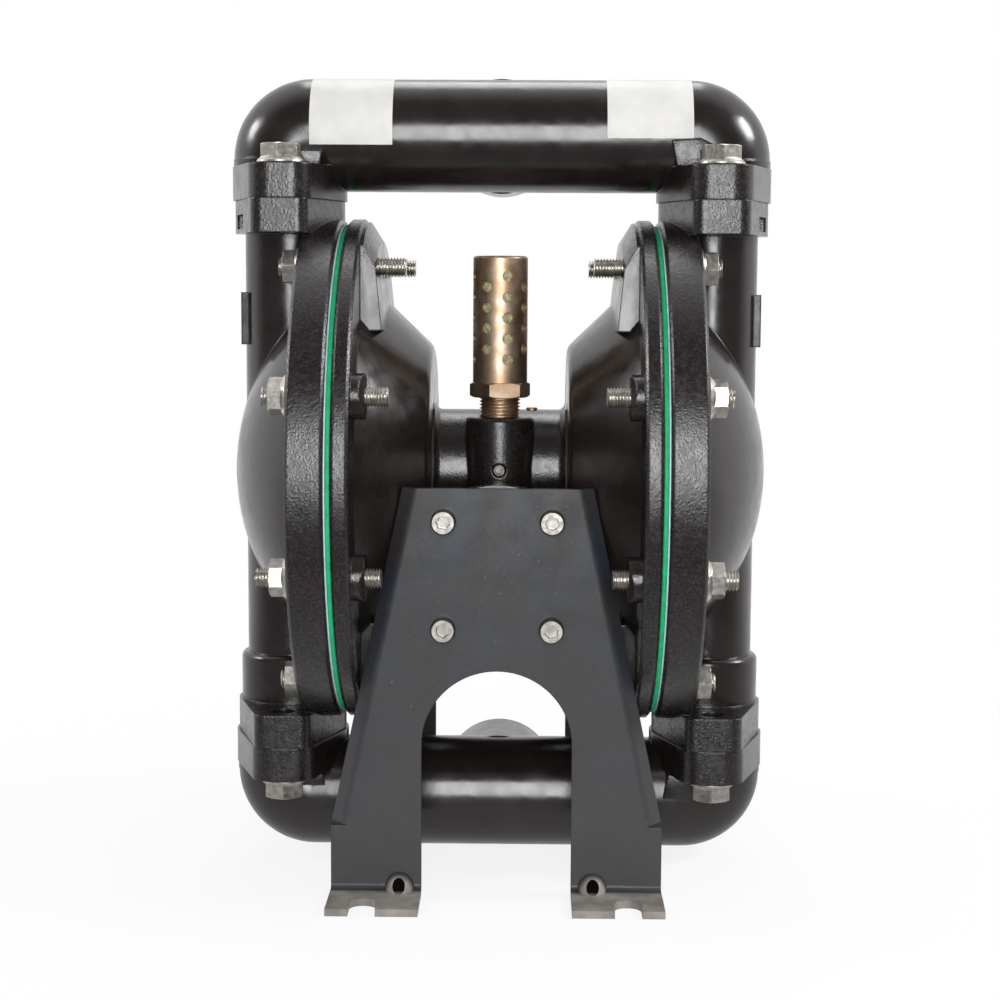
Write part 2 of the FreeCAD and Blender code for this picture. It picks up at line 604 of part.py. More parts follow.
def folded_disc(x_low, x_high, hole):
    """A flat rubber disc with one rolling fold that bulges to the fluid side."""
    middle = (FOLD_START_R + FOLD_END_R) / 2
    rise = FOLD_RISE
    return turned_x((x_low, hole), (x_low, FOLD_START_R), ((x_low + rise, middle), (x_low, FOLD_END_R)),
                    (x_low, DISC_R), (x_high, DISC_R), (x_high, FOLD_END_R),
                    ((x_high + rise, middle), (x_high, FOLD_START_R)), (x_high, hole))


def drilled_disc(x_low, x_high):
    holes = [rod(STUD_R + HOLE_SLACK, (x_low - 1, y, z), X, BACKUP_T + 2) for a, y, z in bolt_places()]
    return cut(folded_disc(x_low, x_high, ROD_BOLT_R + HOLE_SLACK), *holes)


def inner_plate():
    hole = ROD_BOLT_R + HOLE_SLACK
    rim_x = AIR_FACE_X - PLATE_RIM_T
    return turned_x((PLATE_BACK_X, hole), (PLATE_BACK_X, PLATE_HUB_R), (rim_x, PLATE_R - 2), (rim_x + 1, PLATE_R),
                    (AIR_FACE_X - 1, PLATE_R), (AIR_FACE_X, PLATE_R - 1), (AIR_FACE_X, hole))


def outer_plate():
    hole = ROD_BOLT_R + HOLE_SLACK
    rim_x = FLUID_FACE_X + PLATE_RIM_T
    return turned_x((PLATE_FRONT_X, hole), (PLATE_FRONT_X, PLATE_HUB_R), (rim_x, PLATE_R - 2), (rim_x - 1, PLATE_R),
                    (FLUID_FACE_X + 1, PLATE_R), (FLUID_FACE_X, PLATE_R - 1), (FLUID_FACE_X, hole))


def rod_bolt():
    head = hexagon(ROD_BOLT_FLATS, (PLATE_FRONT_X, 0, 0), X, ROD_BOLT_HEAD_T)
    start = PLATE_BACK_X - ROD_BOLT_DEPTH
    return fuse(head, rod(ROD_BOLT_R, (start, 0, 0), X, PLATE_FRONT_X - start))


def diaphragm_rod():
    shaft = rod(ROD_R, (-PLATE_BACK_X, 0, 0), X, 2 * PLATE_BACK_X)
    ends = [e for e in shaft.Edges if e.Closed]
    shaft = shaft.makeChamfer(1.0, ends)
    depth = ROD_BOLT_DEPTH + 2
    tapped = [rod(ROD_BOLT_R + SLIP, (side * (PLATE_BACK_X - depth), 0, 0), V(side, 0, 0), depth) for side in (-1, 1)]
    return cut(shaft, *tapped)


# Air valve

def sleeve():
    body = rod(SLEEVE_R - SLIP, (0, -SLEEVE_HALF, HOUSING_Z), Y, 2 * SLEEVE_HALF)
    tools = [rod(SPOOL_R + SLIP, (0, -SLEEVE_HALF, HOUSING_Z), Y, 2 * SLEEVE_HALF)]
    for y in SLEEVE_SEALS_Y:
        tools.append(seal_groove(y))
    for y, radius in ((EXHAUST_Y, EXHAUST_DUCT_R - 1), (-PASSAGE_Y, PASSAGE_R), (PASSAGE_Y, PASSAGE_R),
                      (INLET_Y, INLET_DUCT_R)):
        tools.append(rod(radius, (0, y, HOUSING_Z), Z, SLEEVE_R + 1))
    return cut(body, *tools)


def seal_groove(y):
    width = VALVE_SEAL_T + 2 * FIT
    floor_r = SLEEVE_R - VALVE_SEAL_T - 2 * FIT
    return ring(SLEEVE_R + 1, floor_r, (0, y - width / 2, HOUSING_Z), Y, width)


def valve_seal(y):
    outer = SLEEVE_R - SLIP
    return ring(outer, outer - VALVE_SEAL_T, (0, y - VALVE_SEAL_T / 2, HOUSING_Z), Y, VALVE_SEAL_T)


def spool():
    core = rod(SPOOL_NECK_R, (0, -SPOOL_HALF, HOUSING_Z), Y, 2 * SPOOL_HALF)
    spans = list(SPOOL_LANDS)
    spans.append((-SPOOL_HALF, SPOOL_END_LAND - SPOOL_HALF))
    spans.append((SPOOL_HALF - SPOOL_END_LAND, SPOOL_HALF))
    lands = [rod(SPOOL_R, (0, low, HOUSING_Z), Y, high - low) for low, high in spans]
    return fuse(core, *lands)


def valve_cover():
    """Rear cover: a disc with a spigot that closes the sleeve's end and holds a seal."""
    spigot_r = SLEEVE_R - FIT
    disc = rod(HOUSING_FLANGE_R, (0, HOUSING_HALF, HOUSING_Z), Y, COVER_T)
    spigot = rod(spigot_r, (0, SLEEVE_HALF, HOUSING_Z), Y, HOUSING_HALF - SLEEVE_HALF)
    groove = seal_groove(COVER_SEAL_Y)
    holes = [rod(BRACKET_SCREW_R + HOLE_SLACK, (x, HOUSING_HALF, z), Y, COVER_T)
             for x, z in bracket_screw_places()]
    return cut(fuse(disc, spigot), groove, *holes)


# Muffler

def muffler_base():
    low, high = MUFFLER_HEX_Z
    root = EXHAUST_TOP_Z - THREAD_DEPTH + 1
    thread = rod(MUFFLER_THREAD_R, (0, EXHAUST_Y, root), Z, low - root)
    head = hexagon(MUFFLER_HEX_FLATS, (0, EXHAUST_Y, low), Z, high - low, MUFFLER_TURN + 30)
    spigot = rod(MUFFLER_R - MUFFLER_WALL - SLIP, (0, EXHAUST_Y, high), Z, MUFFLER_SPIGOT_T)
    bore = rod(MUFFLER_BORE_R, (0, EXHAUST_Y, root), Z, high + MUFFLER_SPIGOT_T - root)
    return fuse(thread, head, spigot).cut(bore)


def muffler_shell():
    low = MUFFLER_HEX_Z[1]
    can = rod(MUFFLER_R, (0, EXHAUST_Y, low), Z, MUFFLER_TOP_Z - low)
    rim = [e for e in can.Edges if e.Closed and e.CenterOfMass.z > MUFFLER_TOP_Z - 0.1]
    can = can.makeFillet(MUFFLER_WALL, rim)
    inside = rod(MUFFLER_R - MUFFLER_WALL, (0, EXHAUST_Y, low), Z, MUFFLER_TOP_Z - MUFFLER_WALL - low)
    holes = []
    for column in range(MUFFLER_COLUMNS):
        angle = math.radians(MUFFLER_COLUMN_TURN + column * 360.0 / MUFFLER_COLUMNS)
        out = V(math.cos(angle), math.sin(angle), 0)
        short = column % 2
        for row in range(MUFFLER_ROWS - short):
            z = MUFFLER_FIRST_Z + MUFFLER_PITCH * (row + short / 2)
            holes.append(rod(MUFFLER_HOLE_R, (0, EXHAUST_Y, z), out, MUFFLER_R + 1))
    return cut(can, inside, *holes)


def muffler_element():
    low = MUFFLER_HEX_Z[1] + MUFFLER_SPIGOT_T
    high = MUFFLER_TOP_Z - MUFFLER_WALL
    outer = MUFFLER_R - MUFFLER_WALL - FIT
    return ring(outer, MUFFLER_BORE_R, (0, EXHAUST_Y, low), Z, high - low)


# Manifolds, drawn as the upper one and mirrored for the lower

def elbow(radius):
    """The right-hand elbow: a clipped disc swept a quarter turn round a near axis."""
    centre_x = VALVE_X
    axis_x = VALVE_X - ELBOW_R
    axis_z = TUBE_Z - ELBOW_R
    half = math.sqrt(radius ** 2 - ELBOW_R ** 2)
    chord = Part.LineSegment(V(axis_x, -half, axis_z), V(axis_x, half, axis_z)).toShape()
    arc = Part.Arc(V(axis_x, half, axis_z), V(centre_x + radius, 0, axis_z), V(axis_x, -half, axis_z)).toShape()
    face = Part.Face(Part.Wire([chord, arc]))
    return face.revolve(V(axis_x, 0, axis_z), V(0, -1, 0), 90)


def u_tube(tube_r, leg_r):
    straight = VALVE_X - ELBOW_R
    tube = rod(tube_r, (-straight, 0, TUBE_Z), X, 2 * straight)
    leg = rod(leg_r, (VALVE_X, 0, PARTING_Z), Z, TUBE_Z - ELBOW_R - PARTING_Z)
    bend = elbow(tube_r)
    return [tube] + both_sides(leg) + both_sides(bend)


def manifold(leg_bore, extra_tools, ribs):
    flange = eared_flange(MANIFOLD_FLANGE_R, PARTING_Z, MANIFOLD_FLANGE_T, MANIFOLD_EAR_ROUND)
    collar = rod(PORT_COLLAR_R, (0, 0, TUBE_Z), Y, PORT_FACE_Y)
    rim = [e for e in collar.Edges if e.Closed and e.CenterOfMass.y > PORT_FACE_Y - 0.1]
    collar = collar.makeChamfer(CLAMP_EDGE, rim)
    outer = fuse(*(u_tube(TUBE_R, LEG_R) + both_sides(flange) + [collar]))
    tools = u_tube(BORE_R, leg_bore)
    tools.append(rod(PORT_R, (0, 0, TUBE_Z), Y, PORT_FACE_Y))
    high = PARTING_Z + MANIFOLD_FLANGE_T
    for tool in ear_holes(MANIFOLD_BOLT_R + HOLE_SLACK, PARTING_Z, high) + extra_tools:
        tools += both_sides(tool)
    hollow = cut(outer, *tools)
    if not ribs:
        return hollow
    inside = [part for rib in ribs for part in both_sides(rib.common(outer))]
    return fuse(hollow, *inside)


def discharge_manifold():
    return manifold(BORE_R, [], ball_ribs(PARTING_Z, BORE_R + 1, (-90, 0, 90)))


def inlet_manifold():
    recess = rod(SEAT_R + FIT, (VALVE_X, 0, PARTING_Z), Z, SEAT_T)
    return mirrored(manifold(SHOULDER_R, [recess], []), Z)


# Fasteners

def flange_nut(y, z, turn):
    body = hexagon(NUT_FLATS, (NUT_SEAT_X, y, z), X, NUT_HEIGHT, turn)
    flange = rod(NUT_FLANGE_R, (NUT_SEAT_X, y, z), X, NUT_FLANGE_T)
    return fuse(body, flange).cut(rod(STUD_R + SLIP, (NUT_SEAT_X, y, z), X, NUT_HEIGHT))


def clamp_nuts():
    return [flange_nut(y, z, NUT_TURN * i) for i, (a, y, z) in enumerate(bolt_places())]


def clamp_studs():
    studs = []
    for a, y, z in bolt_places():
        length = STUD_SHORT if abs(y) > abs(z) else STUD_LONG
        upper_end = STUD_END_UPPER if z > 0 else STUD_END_LOWER
        pad_end = STUD_END_TOP if z > 0 else STUD_END_BOTTOM
        end = upper_end if abs(y) > abs(z) else pad_end
        studs.append(rod(STUD_R, (end - length, y, z), X, length))
    return studs


def manifold_bolt(x, y, turn):
    """A flange-headed bolt whose head rests on the upper manifold's ear."""
    face = PARTING_Z + MANIFOLD_FLANGE_T
    head = hexagon(BOLT_FLATS, (x, y, face), Z, BOLT_HEAD_T, turn)
    flange = rod(BOLT_FLANGE_R, (x, y, face), Z, BOLT_FLANGE_T)
    return fuse(head, flange, rod(MANIFOLD_BOLT_R, (x, y, face - MANIFOLD_BOLT_LENGTH), Z, MANIFOLD_BOLT_LENGTH))


def manifold_bolts():
    places = [(x, y) for x in (-VALVE_X, VALVE_X) for y in (-MANIFOLD_BOLT_Y, MANIFOLD_BOLT_Y)]
    return [manifold_bolt(x, y, NUT_TURN * i) for i, (x, y) in enumerate(places)]


def bracket_screw(x, z):
    """Rear socket screw through bracket and valve cover into the centre body."""
    head = rod(BRACKET_SCREW_HEAD_R, (x, BRACKET_FACE_Y, z), Y, BRACKET_SCREW_HEAD_T)
    shank = rod(BRACKET_SCREW_R, (x, BRACKET_FACE_Y, z), V(0, -1, 0), BRACKET_SCREW_LENGTH)
    top = BRACKET_FACE_Y + BRACKET_SCREW_HEAD_T
    return fuse(head, shank).cut(hexagon(SOCKET_FLATS, (x, top - SOCKET_DEPTH, z), Y, SOCKET_DEPTH + 1))


# Bracket, drawn as the rear one, which faces +Y, and mirrored for the front

def bracket_lip():
    """The slanted stiffening lip on the right edge, bent back towards the pump."""
    outer_r = BEND_R + SHEET_T
    turn = math.radians(LIP_ANGLE)
    run = (math.cos(turn) * LIP_LENGTH, math.sin(turn) * LIP_LENGTH)

    def on_bend(radius, angle):
        return (radius * math.sin(angle), outer_r - radius * math.cos(angle))

    front_end = on_bend(outer_r, turn)
    back_end = on_bend(BEND_R, turn)
    front_tip = (front_end[0] + run[0], front_end[1] + run[1])
    back_tip = (back_end[0] + run[0], back_end[1] + run[1])
    slope = math.atan2(FLARE_END_HALF - BRACKET_TOP_HALF, BRACKET_TOP_Z - FLARE_END_Z)
    across = V(math.cos(slope), 0, math.sin(slope))
    down = V(math.sin(slope), 0, -math.cos(slope))
    corner = V(BRACKET_TOP_HALF, BRACKET_FACE_Y, BRACKET_TOP_Z)

    def place(out, back):
        return corner + across * out - Y * back

    face = outline(place, (0, 0), (on_bend(outer_r, turn / 2), front_end), front_tip, back_tip, back_end,
                   (on_bend(BEND_R, turn / 2), (0, SHEET_T)))
    length = (BRACKET_TOP_Z - FLARE_END_Z) / math.cos(slope)
    strip = face.extrude(down * length)
    trim = block((0, LEG_OUTER + 10), (0, BRACKET_FACE_Y), (FLARE_END_Z, BRACKET_TOP_Z))
    return strip.common(trim)


def bracket_leg():
    """One leg with its bend and foot, drawn as a bent strip seen from the side."""
    front = BRACKET_FACE_Y
    back = front - SHEET_T
    floor = -AXIS_HEIGHT
    top = ARCH_CENTRE_Z
    outer_r = BEND_R + SHEET_T
    q = math.sqrt(0.5)
    inner_mid = (front + BEND_R * (1 - q), floor + SHEET_T + BEND_R * (1 - q))
    outer_mid = (back + outer_r * (1 - q), floor + outer_r * (1 - q))

    def place(y, z):
        return V(LEG_INNER, y, z)

    strip = outline(place, (back, top), (front, top), (front, floor + SHEET_T + BEND_R),
                    (inner_mid, (front + BEND_R, floor + SHEET_T)), (FOOT_REACH_Y, floor + SHEET_T),
                    (FOOT_REACH_Y, floor), (back + outer_r, floor), (outer_mid, (back, floor + outer_r)))
    leg = strip.extrude(V(LEG_OUTER - LEG_INNER, 0, 0))
    slot = rod(SLOT_R, (SLOT_X, SLOT_Y, floor), Z, SHEET_T)
    mouth = block((SLOT_X - SLOT_R, SLOT_X + SLOT_R), (SLOT_Y, FOOT_REACH_Y), (floor, floor + SHEET_T))
    root = floor + SHEET_T
    side = [V(GUSSET_X - GUSSET_WIDTH / 2, y, z)
            for y, z in ((front, root), (front + GUSSET_HEIGHT, root), (front, root + GUSSET_HEIGHT))]
    gusset = Part.Face(Part.makePolygon(side + [side[0]])).extrude(V(GUSSET_WIDTH, 0, 0))
    return fuse(cut(leg, slot, mouth), gusset)


def bracket():
    def place(x, z):
        return V(x, BRACKET_FACE_Y - SHEET_T, z)

    top = ARCH_CENTRE_Z
    half_at_top = BRACKET_TOP_HALF + (FLARE_END_HALF - BRACKET_TOP_HALF) * (BRACKET_TOP_Z - top) / (
        BRACKET_TOP_Z - FLARE_END_Z)
    plate = outline(place, (-BRACKET_TOP_HALF, BRACKET_TOP_Z), (BRACKET_TOP_HALF, BRACKET_TOP_Z), (half_at_top, top),
                    (LEG_INNER, top), ((0, top + LEG_INNER), (-LEG_INNER, top)), (-half_at_top, top))
    plate = plate.extrude(V(0, SHEET_T, 0))
    slope_cut = outline(place, (half_at_top, top), (LEG_OUTER + 1, top), (LEG_OUTER + 1, FLARE_END_Z),
                        (FLARE_END_HALF, FLARE_END_Z)).extrude(V(0, SHEET_T, 0))
    right = fuse(bracket_leg().cut(slope_cut), bracket_lip())
    sheet = fuse(plate, right, mirrored(right, X))
    holes = [rod(BRACKET_SCREW_R + HOLE_SLACK, (x, BRACKET_FACE_Y - SHEET_T, z), Y, SHEET_T)
             for x, z in bracket_screw_places()]
    return cut(sheet, *holes)


def main():
    os.makedirs("parts", exist_ok=True)
    write_sides("fluid_cap", fluid_cap())
    write_turned("air_cap", air_cap())
    write_turned("cap_gasket", cap_gasket())
    write_sides("diaphragm", drilled_disc(AIR_FACE_X, AIR_FACE_X + BACKUP_T))
    write_sides("overlay_diaphragm", drilled_disc(AIR_FACE_X + BACKUP_T, FLUID_FACE_X))
    write_sides("inner_plate", inner_plate())
    write_sides("outer_plate", outer_plate())
    write_sides("rod_bolt", rod_bolt())
    write_sides("inlet_seat", seat(-PARTING_Z))
    write_sides("discharge_seat", seat(PARTING_Z))
    write_sides("inlet_ball", ball(-PARTING_Z))
    write_sides("discharge_ball", ball(PARTING_Z))
    write("inlet_seat_seals", *both_sides(seat_seal(-PARTING_Z)))
    write("discharge_seat_seals", *both_sides(seat_seal(PARTING_Z)))

    nuts = clamp_nuts()
    studs = clamp_studs()
    cap_screws = [cap_screw(y, z) for y, z in cap_screw_places()]
    for name, group in (("clamp_nuts", nuts), ("clamp_studs", studs), ("cap_screws", cap_screws)):
        write("left_" + name, *[mirrored(piece, X) for piece in group])
        write("right_" + name, *group)

    write("discharge_manifold", discharge_manifold())
    write("inlet_manifold", inlet_manifold())
    upper_bolts = manifold_bolts()
    write("discharge_manifold_bolts", *upper_bolts)
    write("inlet_manifold_bolts", *[mirrored(bolt, Z) for bolt in upper_bolts])

    write("center_body", center_body())
    write("boss_set_screw", boss_set_screw())
    write("barrel_plug", barrel_plug())
    write("diaphragm_rod", diaphragm_rod())
    bush = ring(ROD_BUSH_R, ROD_R + SLIP, (ROD_BUSH_X[0], 0, 0), X, ROD_BUSH_X[1] - ROD_BUSH_X[0])
    seal = ring(ROD_SEAL_R, ROD_R + SLIP, (ROD_BUSH_X[1], 0, 0), X, BARREL_HALF - ROD_BUSH_X[1])
    write("rod_bushes", *both_sides(bush))
    write("rod_seals", *both_sides(seal))
    pilot_start = BARREL_HALF - PILOT_BUSH_LENGTH
    pilot_bush = ring(PILOT_BUSH_R, PILOT_R + SLIP, (pilot_start, 0, PILOT_Z), X, PILOT_BUSH_LENGTH)
    write("pilot_bushes", *both_sides(pilot_bush))
    write("pilot_rod", rod(PILOT_R, (-PILOT_HALF, 0, PILOT_Z), X, 2 * PILOT_HALF))

    write("valve_sleeve", sleeve())
    write("valve_spool", spool())
    write("sleeve_seals", *[valve_seal(y) for y in SLEEVE_SEALS_Y])
    cover = valve_cover()
    write("front_valve_cover", mirrored(cover, Y))
    write("rear_valve_cover", cover)
    write("cover_seals", valve_seal(-COVER_SEAL_Y), valve_seal(COVER_SEAL_Y))

    write("muffler_base", muffler_base())
    write("muffler_shell", muffler_shell())
    write("muffler_element", muffler_element())

    sheet = bracket()
    screws = [bracket_screw(x, z) for x, z in bracket_screw_places()]
    write("front_bracket", mirrored(sheet, Y))
    write("rear_bracket", sheet)
    write("front_bracket_screws", *[mirrored(screw, Y) for screw in screws])
    write("rear_bracket_screws", *screws)


main()
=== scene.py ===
import json
import math

import bpy
from mathutils import Matrix, Vector


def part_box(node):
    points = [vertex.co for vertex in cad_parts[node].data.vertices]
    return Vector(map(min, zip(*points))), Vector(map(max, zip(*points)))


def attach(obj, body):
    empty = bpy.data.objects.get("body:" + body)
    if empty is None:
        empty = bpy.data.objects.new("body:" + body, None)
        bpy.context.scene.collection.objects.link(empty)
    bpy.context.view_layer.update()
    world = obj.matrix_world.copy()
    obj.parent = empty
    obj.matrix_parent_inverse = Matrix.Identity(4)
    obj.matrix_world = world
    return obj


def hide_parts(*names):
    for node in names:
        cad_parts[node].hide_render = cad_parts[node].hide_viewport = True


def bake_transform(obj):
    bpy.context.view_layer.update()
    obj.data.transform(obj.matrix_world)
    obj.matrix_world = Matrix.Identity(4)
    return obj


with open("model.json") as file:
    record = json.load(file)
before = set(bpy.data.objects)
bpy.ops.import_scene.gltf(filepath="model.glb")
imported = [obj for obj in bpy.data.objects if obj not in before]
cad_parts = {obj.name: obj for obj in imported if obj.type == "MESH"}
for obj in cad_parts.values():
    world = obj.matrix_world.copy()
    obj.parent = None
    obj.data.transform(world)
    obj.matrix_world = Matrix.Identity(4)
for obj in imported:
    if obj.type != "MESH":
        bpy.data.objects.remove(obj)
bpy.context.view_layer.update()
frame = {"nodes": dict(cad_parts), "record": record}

NODES = frame["nodes"]
MM = 0.001

# Heights and places repeated from the solids, in metres
AXIS_Z = 0.168
TUBE_Z = AXIS_Z + 0.141
TUBE_R = 0.0235
FLANGE_TOP = 127.5 * MM
STUD_PITCH = 1.25 * MM
PIPE_PITCH = 1.41 * MM
WELD_GAP = 0.002 * MM
SIDES = (("left_", -1), ("right_", 1))
FACINGS = (("front_", -1), ("rear_", 1))


def deselect():
    if bpy.context.mode != "OBJECT":
        bpy.ops.object.mode_set(mode="OBJECT")
    bpy.ops.object.select_all(action="DESELECT")


def pick(piece):
    deselect()
    piece.select_set(True)
    bpy.context.view_layer.objects.active = piece


# Colours and shader nodes

def paint(code):
    """An sRGB hex colour as the linear colour that the shaders take."""
    parts = [int(code[i:i + 2], 16) / 255 for i in (1, 3, 5)]
    return tuple(c / 12.92 if c <= 0.04045 else ((c + 0.055) / 1.055) ** 2.4 for c in parts) + (1.0,)


def add(material, kind, inputs=(), **settings):
    """One shader node; an input takes a value or another node's output."""
    made = material.node_tree.nodes.new(kind)
    for name, value in settings.items():
        setattr(made, name, value)
    for key, value in dict(inputs).items():
        if isinstance(value, bpy.types.NodeSocket):
            material.node_tree.links.new(value, made.inputs[key])
        else:
            made.inputs[key].default_value = value
    return made


def new_material(name):
    material = bpy.data.materials.new(name)
    material.use_nodes = True
    material.node_tree.nodes.clear()
    return material


def finish_material(material, **inputs):
    """The surface shader and the output; names of inputs have _ for a blank."""
    shader = add(material, "ShaderNodeBsdfPrincipled", {k.replace("_", " "): v for k, v in inputs.items()})
    add(material, "ShaderNodeOutputMaterial", {"Surface": shader.outputs[0]})
    return material


def mottled(material, where, size, low, high, low_at=0.35, high_at=0.65, detail=3.0):
    """A blend of two colours in soft patches of the given size in metres."""
    patches = add(material, "ShaderNodeTexNoise", {"Vector": where, "Scale": 1 / size, "Detail": detail})
    ramp = add(material, "ShaderNodeValToRGB", {0: patches.outputs[0]})
    ramp.color_ramp.elements[0].position = low_at
    ramp.color_ramp.elements[0].color = low
    ramp.color_ramp.elements[1].position = high_at
    ramp.color_ramp.elements[1].color = high
    return ramp.outputs[0]


def grey(value):
    return (value, value, value, 1.0)


def cast_iron_paint(name, grain_and_glints_where):
    # Black enamel on sand-cast grey iron: smooth and fairly glossy where it was poured smooth,
    # with the sand's grain standing out on the rims and ears, and pale specks there that are painted glints of the
    # grain.
    material = new_material(name)
    where = add(material, "ShaderNodeTexCoord").outputs["Object"]
    tone = mottled(material, where, 18 * MM, paint("#17110f"), paint("#221b1a"))
    # Pale specks: painted glints of the sand grain, mixed in most where the grain stands out.
    painted_glint_flecks = mottled(material, where, 0.9 * MM, paint("#17110f"), paint("#333133"), 0.48, 0.7)
    grain_and_painted_glints = grain_and_glints_where(material, where)
    share = add(material, "ShaderNodeMapRange", {0: grain_and_painted_glints, 3: 0.2, 4: 0.85})
    colour = add(material, "ShaderNodeMix", {0: share.outputs[0], 6: tone, 7: painted_glint_flecks}, data_type="RGBA")
    gloss = add(material, "ShaderNodeMix", {0: grain_and_painted_glints, 6: mottled(material, where, 8 * MM, grey(0.18), grey(0.27)),
                                            7: mottled(material, where, 3 * MM, grey(0.2), grey(0.32))},
                data_type="RGBA")
    sand = add(material, "ShaderNodeTexNoise", {"Vector": where, "Scale": 1 / (0.8 * MM), "Detail": 2.0})
    swell = add(material, "ShaderNodeTexNoise", {"Vector": where, "Scale": 1 / (9 * MM), "Detail": 2.0})
    soft_edge = add(material, "ShaderNodeBevel", {"Radius": 0.9 * MM}, samples=6)
    broad = add(material, "ShaderNodeBump", {"Strength": 0.4, "Distance": 0.3 * MM, "Height": swell.outputs[0],
                                             "Normal": soft_edge.outputs[0]})
    depth = add(material, "ShaderNodeMapRange", {0: grain_and_painted_glints, 3: 0.08, 4: 0.9})
    rough = add(material, "ShaderNodeBump", {"Strength": depth.outputs[0], "Distance": 0.16 * MM,
                                             "Height": sand.outputs[0], "Normal": broad.outputs[0]})
    return finish_material(material, Base_Color=colour.outputs[2], Roughness=gloss.outputs[2],
                           Normal=rough.outputs[0], Specular_IOR_Level=0.7)


def clamp_rims(material, where):
    """1 on the clamp flanges' rims, 0 on the rest of the caps."""
    parts = add(material, "ShaderNodeSeparateXYZ", {0: where})
    height = add(material, "ShaderNodeMath", {0: parts.outputs[2], 1: AXIS_Z}, operation="SUBTRACT")
    squares = [add(material, "ShaderNodeMath", {0: side, 1: 2.0}, operation="POWER").outputs[0]
               for side in (parts.outputs[1], height.outputs[0])]
    total = add(material, "ShaderNodeMath", {0: squares[0], 1: squares[1]}, operation="ADD")
    inner, outer = 95.5 * MM, 104 * MM
    return add(material, "ShaderNodeMapRange", {0: total.outputs[0], 1: inner ** 2, 2: outer ** 2}).outputs[0]


def bolt_ears(material, where):
    """1 on the manifolds' ears, front and back, 0 on the tube."""
    parts = add(material, "ShaderNodeSeparateXYZ", {0: where})
    reach = add(material, "ShaderNodeMath", {0: parts.outputs[1]}, operation="ABSOLUTE")
    return add(material, "ShaderNodeMapRange", {0: reach.outputs[0], 1: 26 * MM, 2: 40 * MM}).outputs[0]


def patches_everywhere(material, where):
    """Grain, with its painted glints, in soft patches all over, as on the centre body."""
    return mottled(material, where, 14 * MM, grey(0.35), grey(1.0))


def sheet_paint():
    # Satin black powder coat on 3 mm pressed steel: smoother than the castings, with a fine
    # orange peel, a few pale specks, paler grey towards the floor, and the feet painted pale as a painted
    # reflection of the light.
    material = new_material("satin_powder_coat_on_steel_sheet")
    where = add(material, "ShaderNodeTexCoord").outputs["Object"]
    broad = mottled(material, where, 22 * MM, paint("#2d2a2b"), paint("#29303a"), 0.4, 0.6)
    fine = mottled(material, where, 2.0 * MM, paint("#252324"), paint("#33383f"), 0.4, 0.62)
    cloud = add(material, "ShaderNodeMix", {0: 0.22, 6: broad, 7: fine}, data_type="RGBA")
    specks = mottled(material, where, 1.3 * MM, grey(0.0), grey(1.0), 0.77, 0.8, 1.0)
    flecked = add(material, "ShaderNodeMix", {0: specks, 6: cloud.outputs[2], 7: paint("#67666a")},
                  data_type="RGBA")
    parts = add(material, "ShaderNodeSeparateXYZ", {0: where})
    low = add(material, "ShaderNodeMapRange", {0: parts.outputs[2], 1: 130 * MM, 2: 30 * MM, 4: 0.75}).outputs[0]
    legs = add(material, "ShaderNodeMix", {0: low, 6: flecked.outputs[2], 7: paint("#434142")}, data_type="RGBA")
    reach = add(material, "ShaderNodeMath", {0: parts.outputs[1]}, operation="ABSOLUTE").outputs[0]
    foot = add(material, "ShaderNodeMapRange", {0: reach, 1: 70.5 * MM, 2: 73.5 * MM}).outputs[0]
    # Painted reflection: the feet are drawn pale beige, as they look when lit from above.
    painted_foot_sheen = mottled(material, where, 9 * MM, paint("#7a7570"), paint("#99938c"))
    tone = add(material, "ShaderNodeMix", {0: foot, 6: legs.outputs[2], 7: painted_foot_sheen}, data_type="RGBA")
    gloss = mottled(material, where, 10 * MM, grey(0.36), grey(0.46))
    peel = add(material, "ShaderNodeTexNoise", {"Vector": where, "Scale": 1 / (1.8 * MM), "Detail": 2.0})
    soft_edge = add(material, "ShaderNodeBevel", {"Radius": 0.5 * MM}, samples=6)
    bumps = add(material, "ShaderNodeBump", {"Strength": 0.25, "Distance": 0.1 * MM, "Height": peel.outputs[0],
                                             "Normal": soft_edge.outputs[0]})
    return finish_material(material, Base_Color=tone.outputs[2], Roughness=gloss, Normal=bumps.outputs[0],
                           Specular_IOR_Level=0.42)


def green_rubber():
    # Moulded nitrile sheet, dyed green: matt, with a faint bloom.
    material = new_material("green_moulded_nitrile_rubber")
    where = add(material, "ShaderNodeTexCoord").outputs["Object"]
    tone = mottled(material, where, 4 * MM, paint("#00a066"), paint("#00b377"))
    fine = add(material, "ShaderNodeTexNoise", {"Vector": where, "Scale": 1 / (0.8 * MM), "Detail": 2.0})
    bumps = add(material, "ShaderNodeBump", {"Strength": 0.2, "Distance": 0.1 * MM, "Height": fine.outputs[0]})
    return finish_material(material, Base_Color=tone, Roughness=0.62, Normal=bumps.outputs[0])


def overlay_film():
    # Skived fluoropolymer sheet: waxy white with a cool tint.
    material = new_material("skived_fluoropolymer_sheet")
    where = add(material, "ShaderNodeTexCoord").outputs["Object"]
    tone = mottled(material, where, 6 * MM, paint("#b9d3df"), paint("#cfe2ea"))
    return finish_material(material, Base_Color=tone, Roughness=0.35)


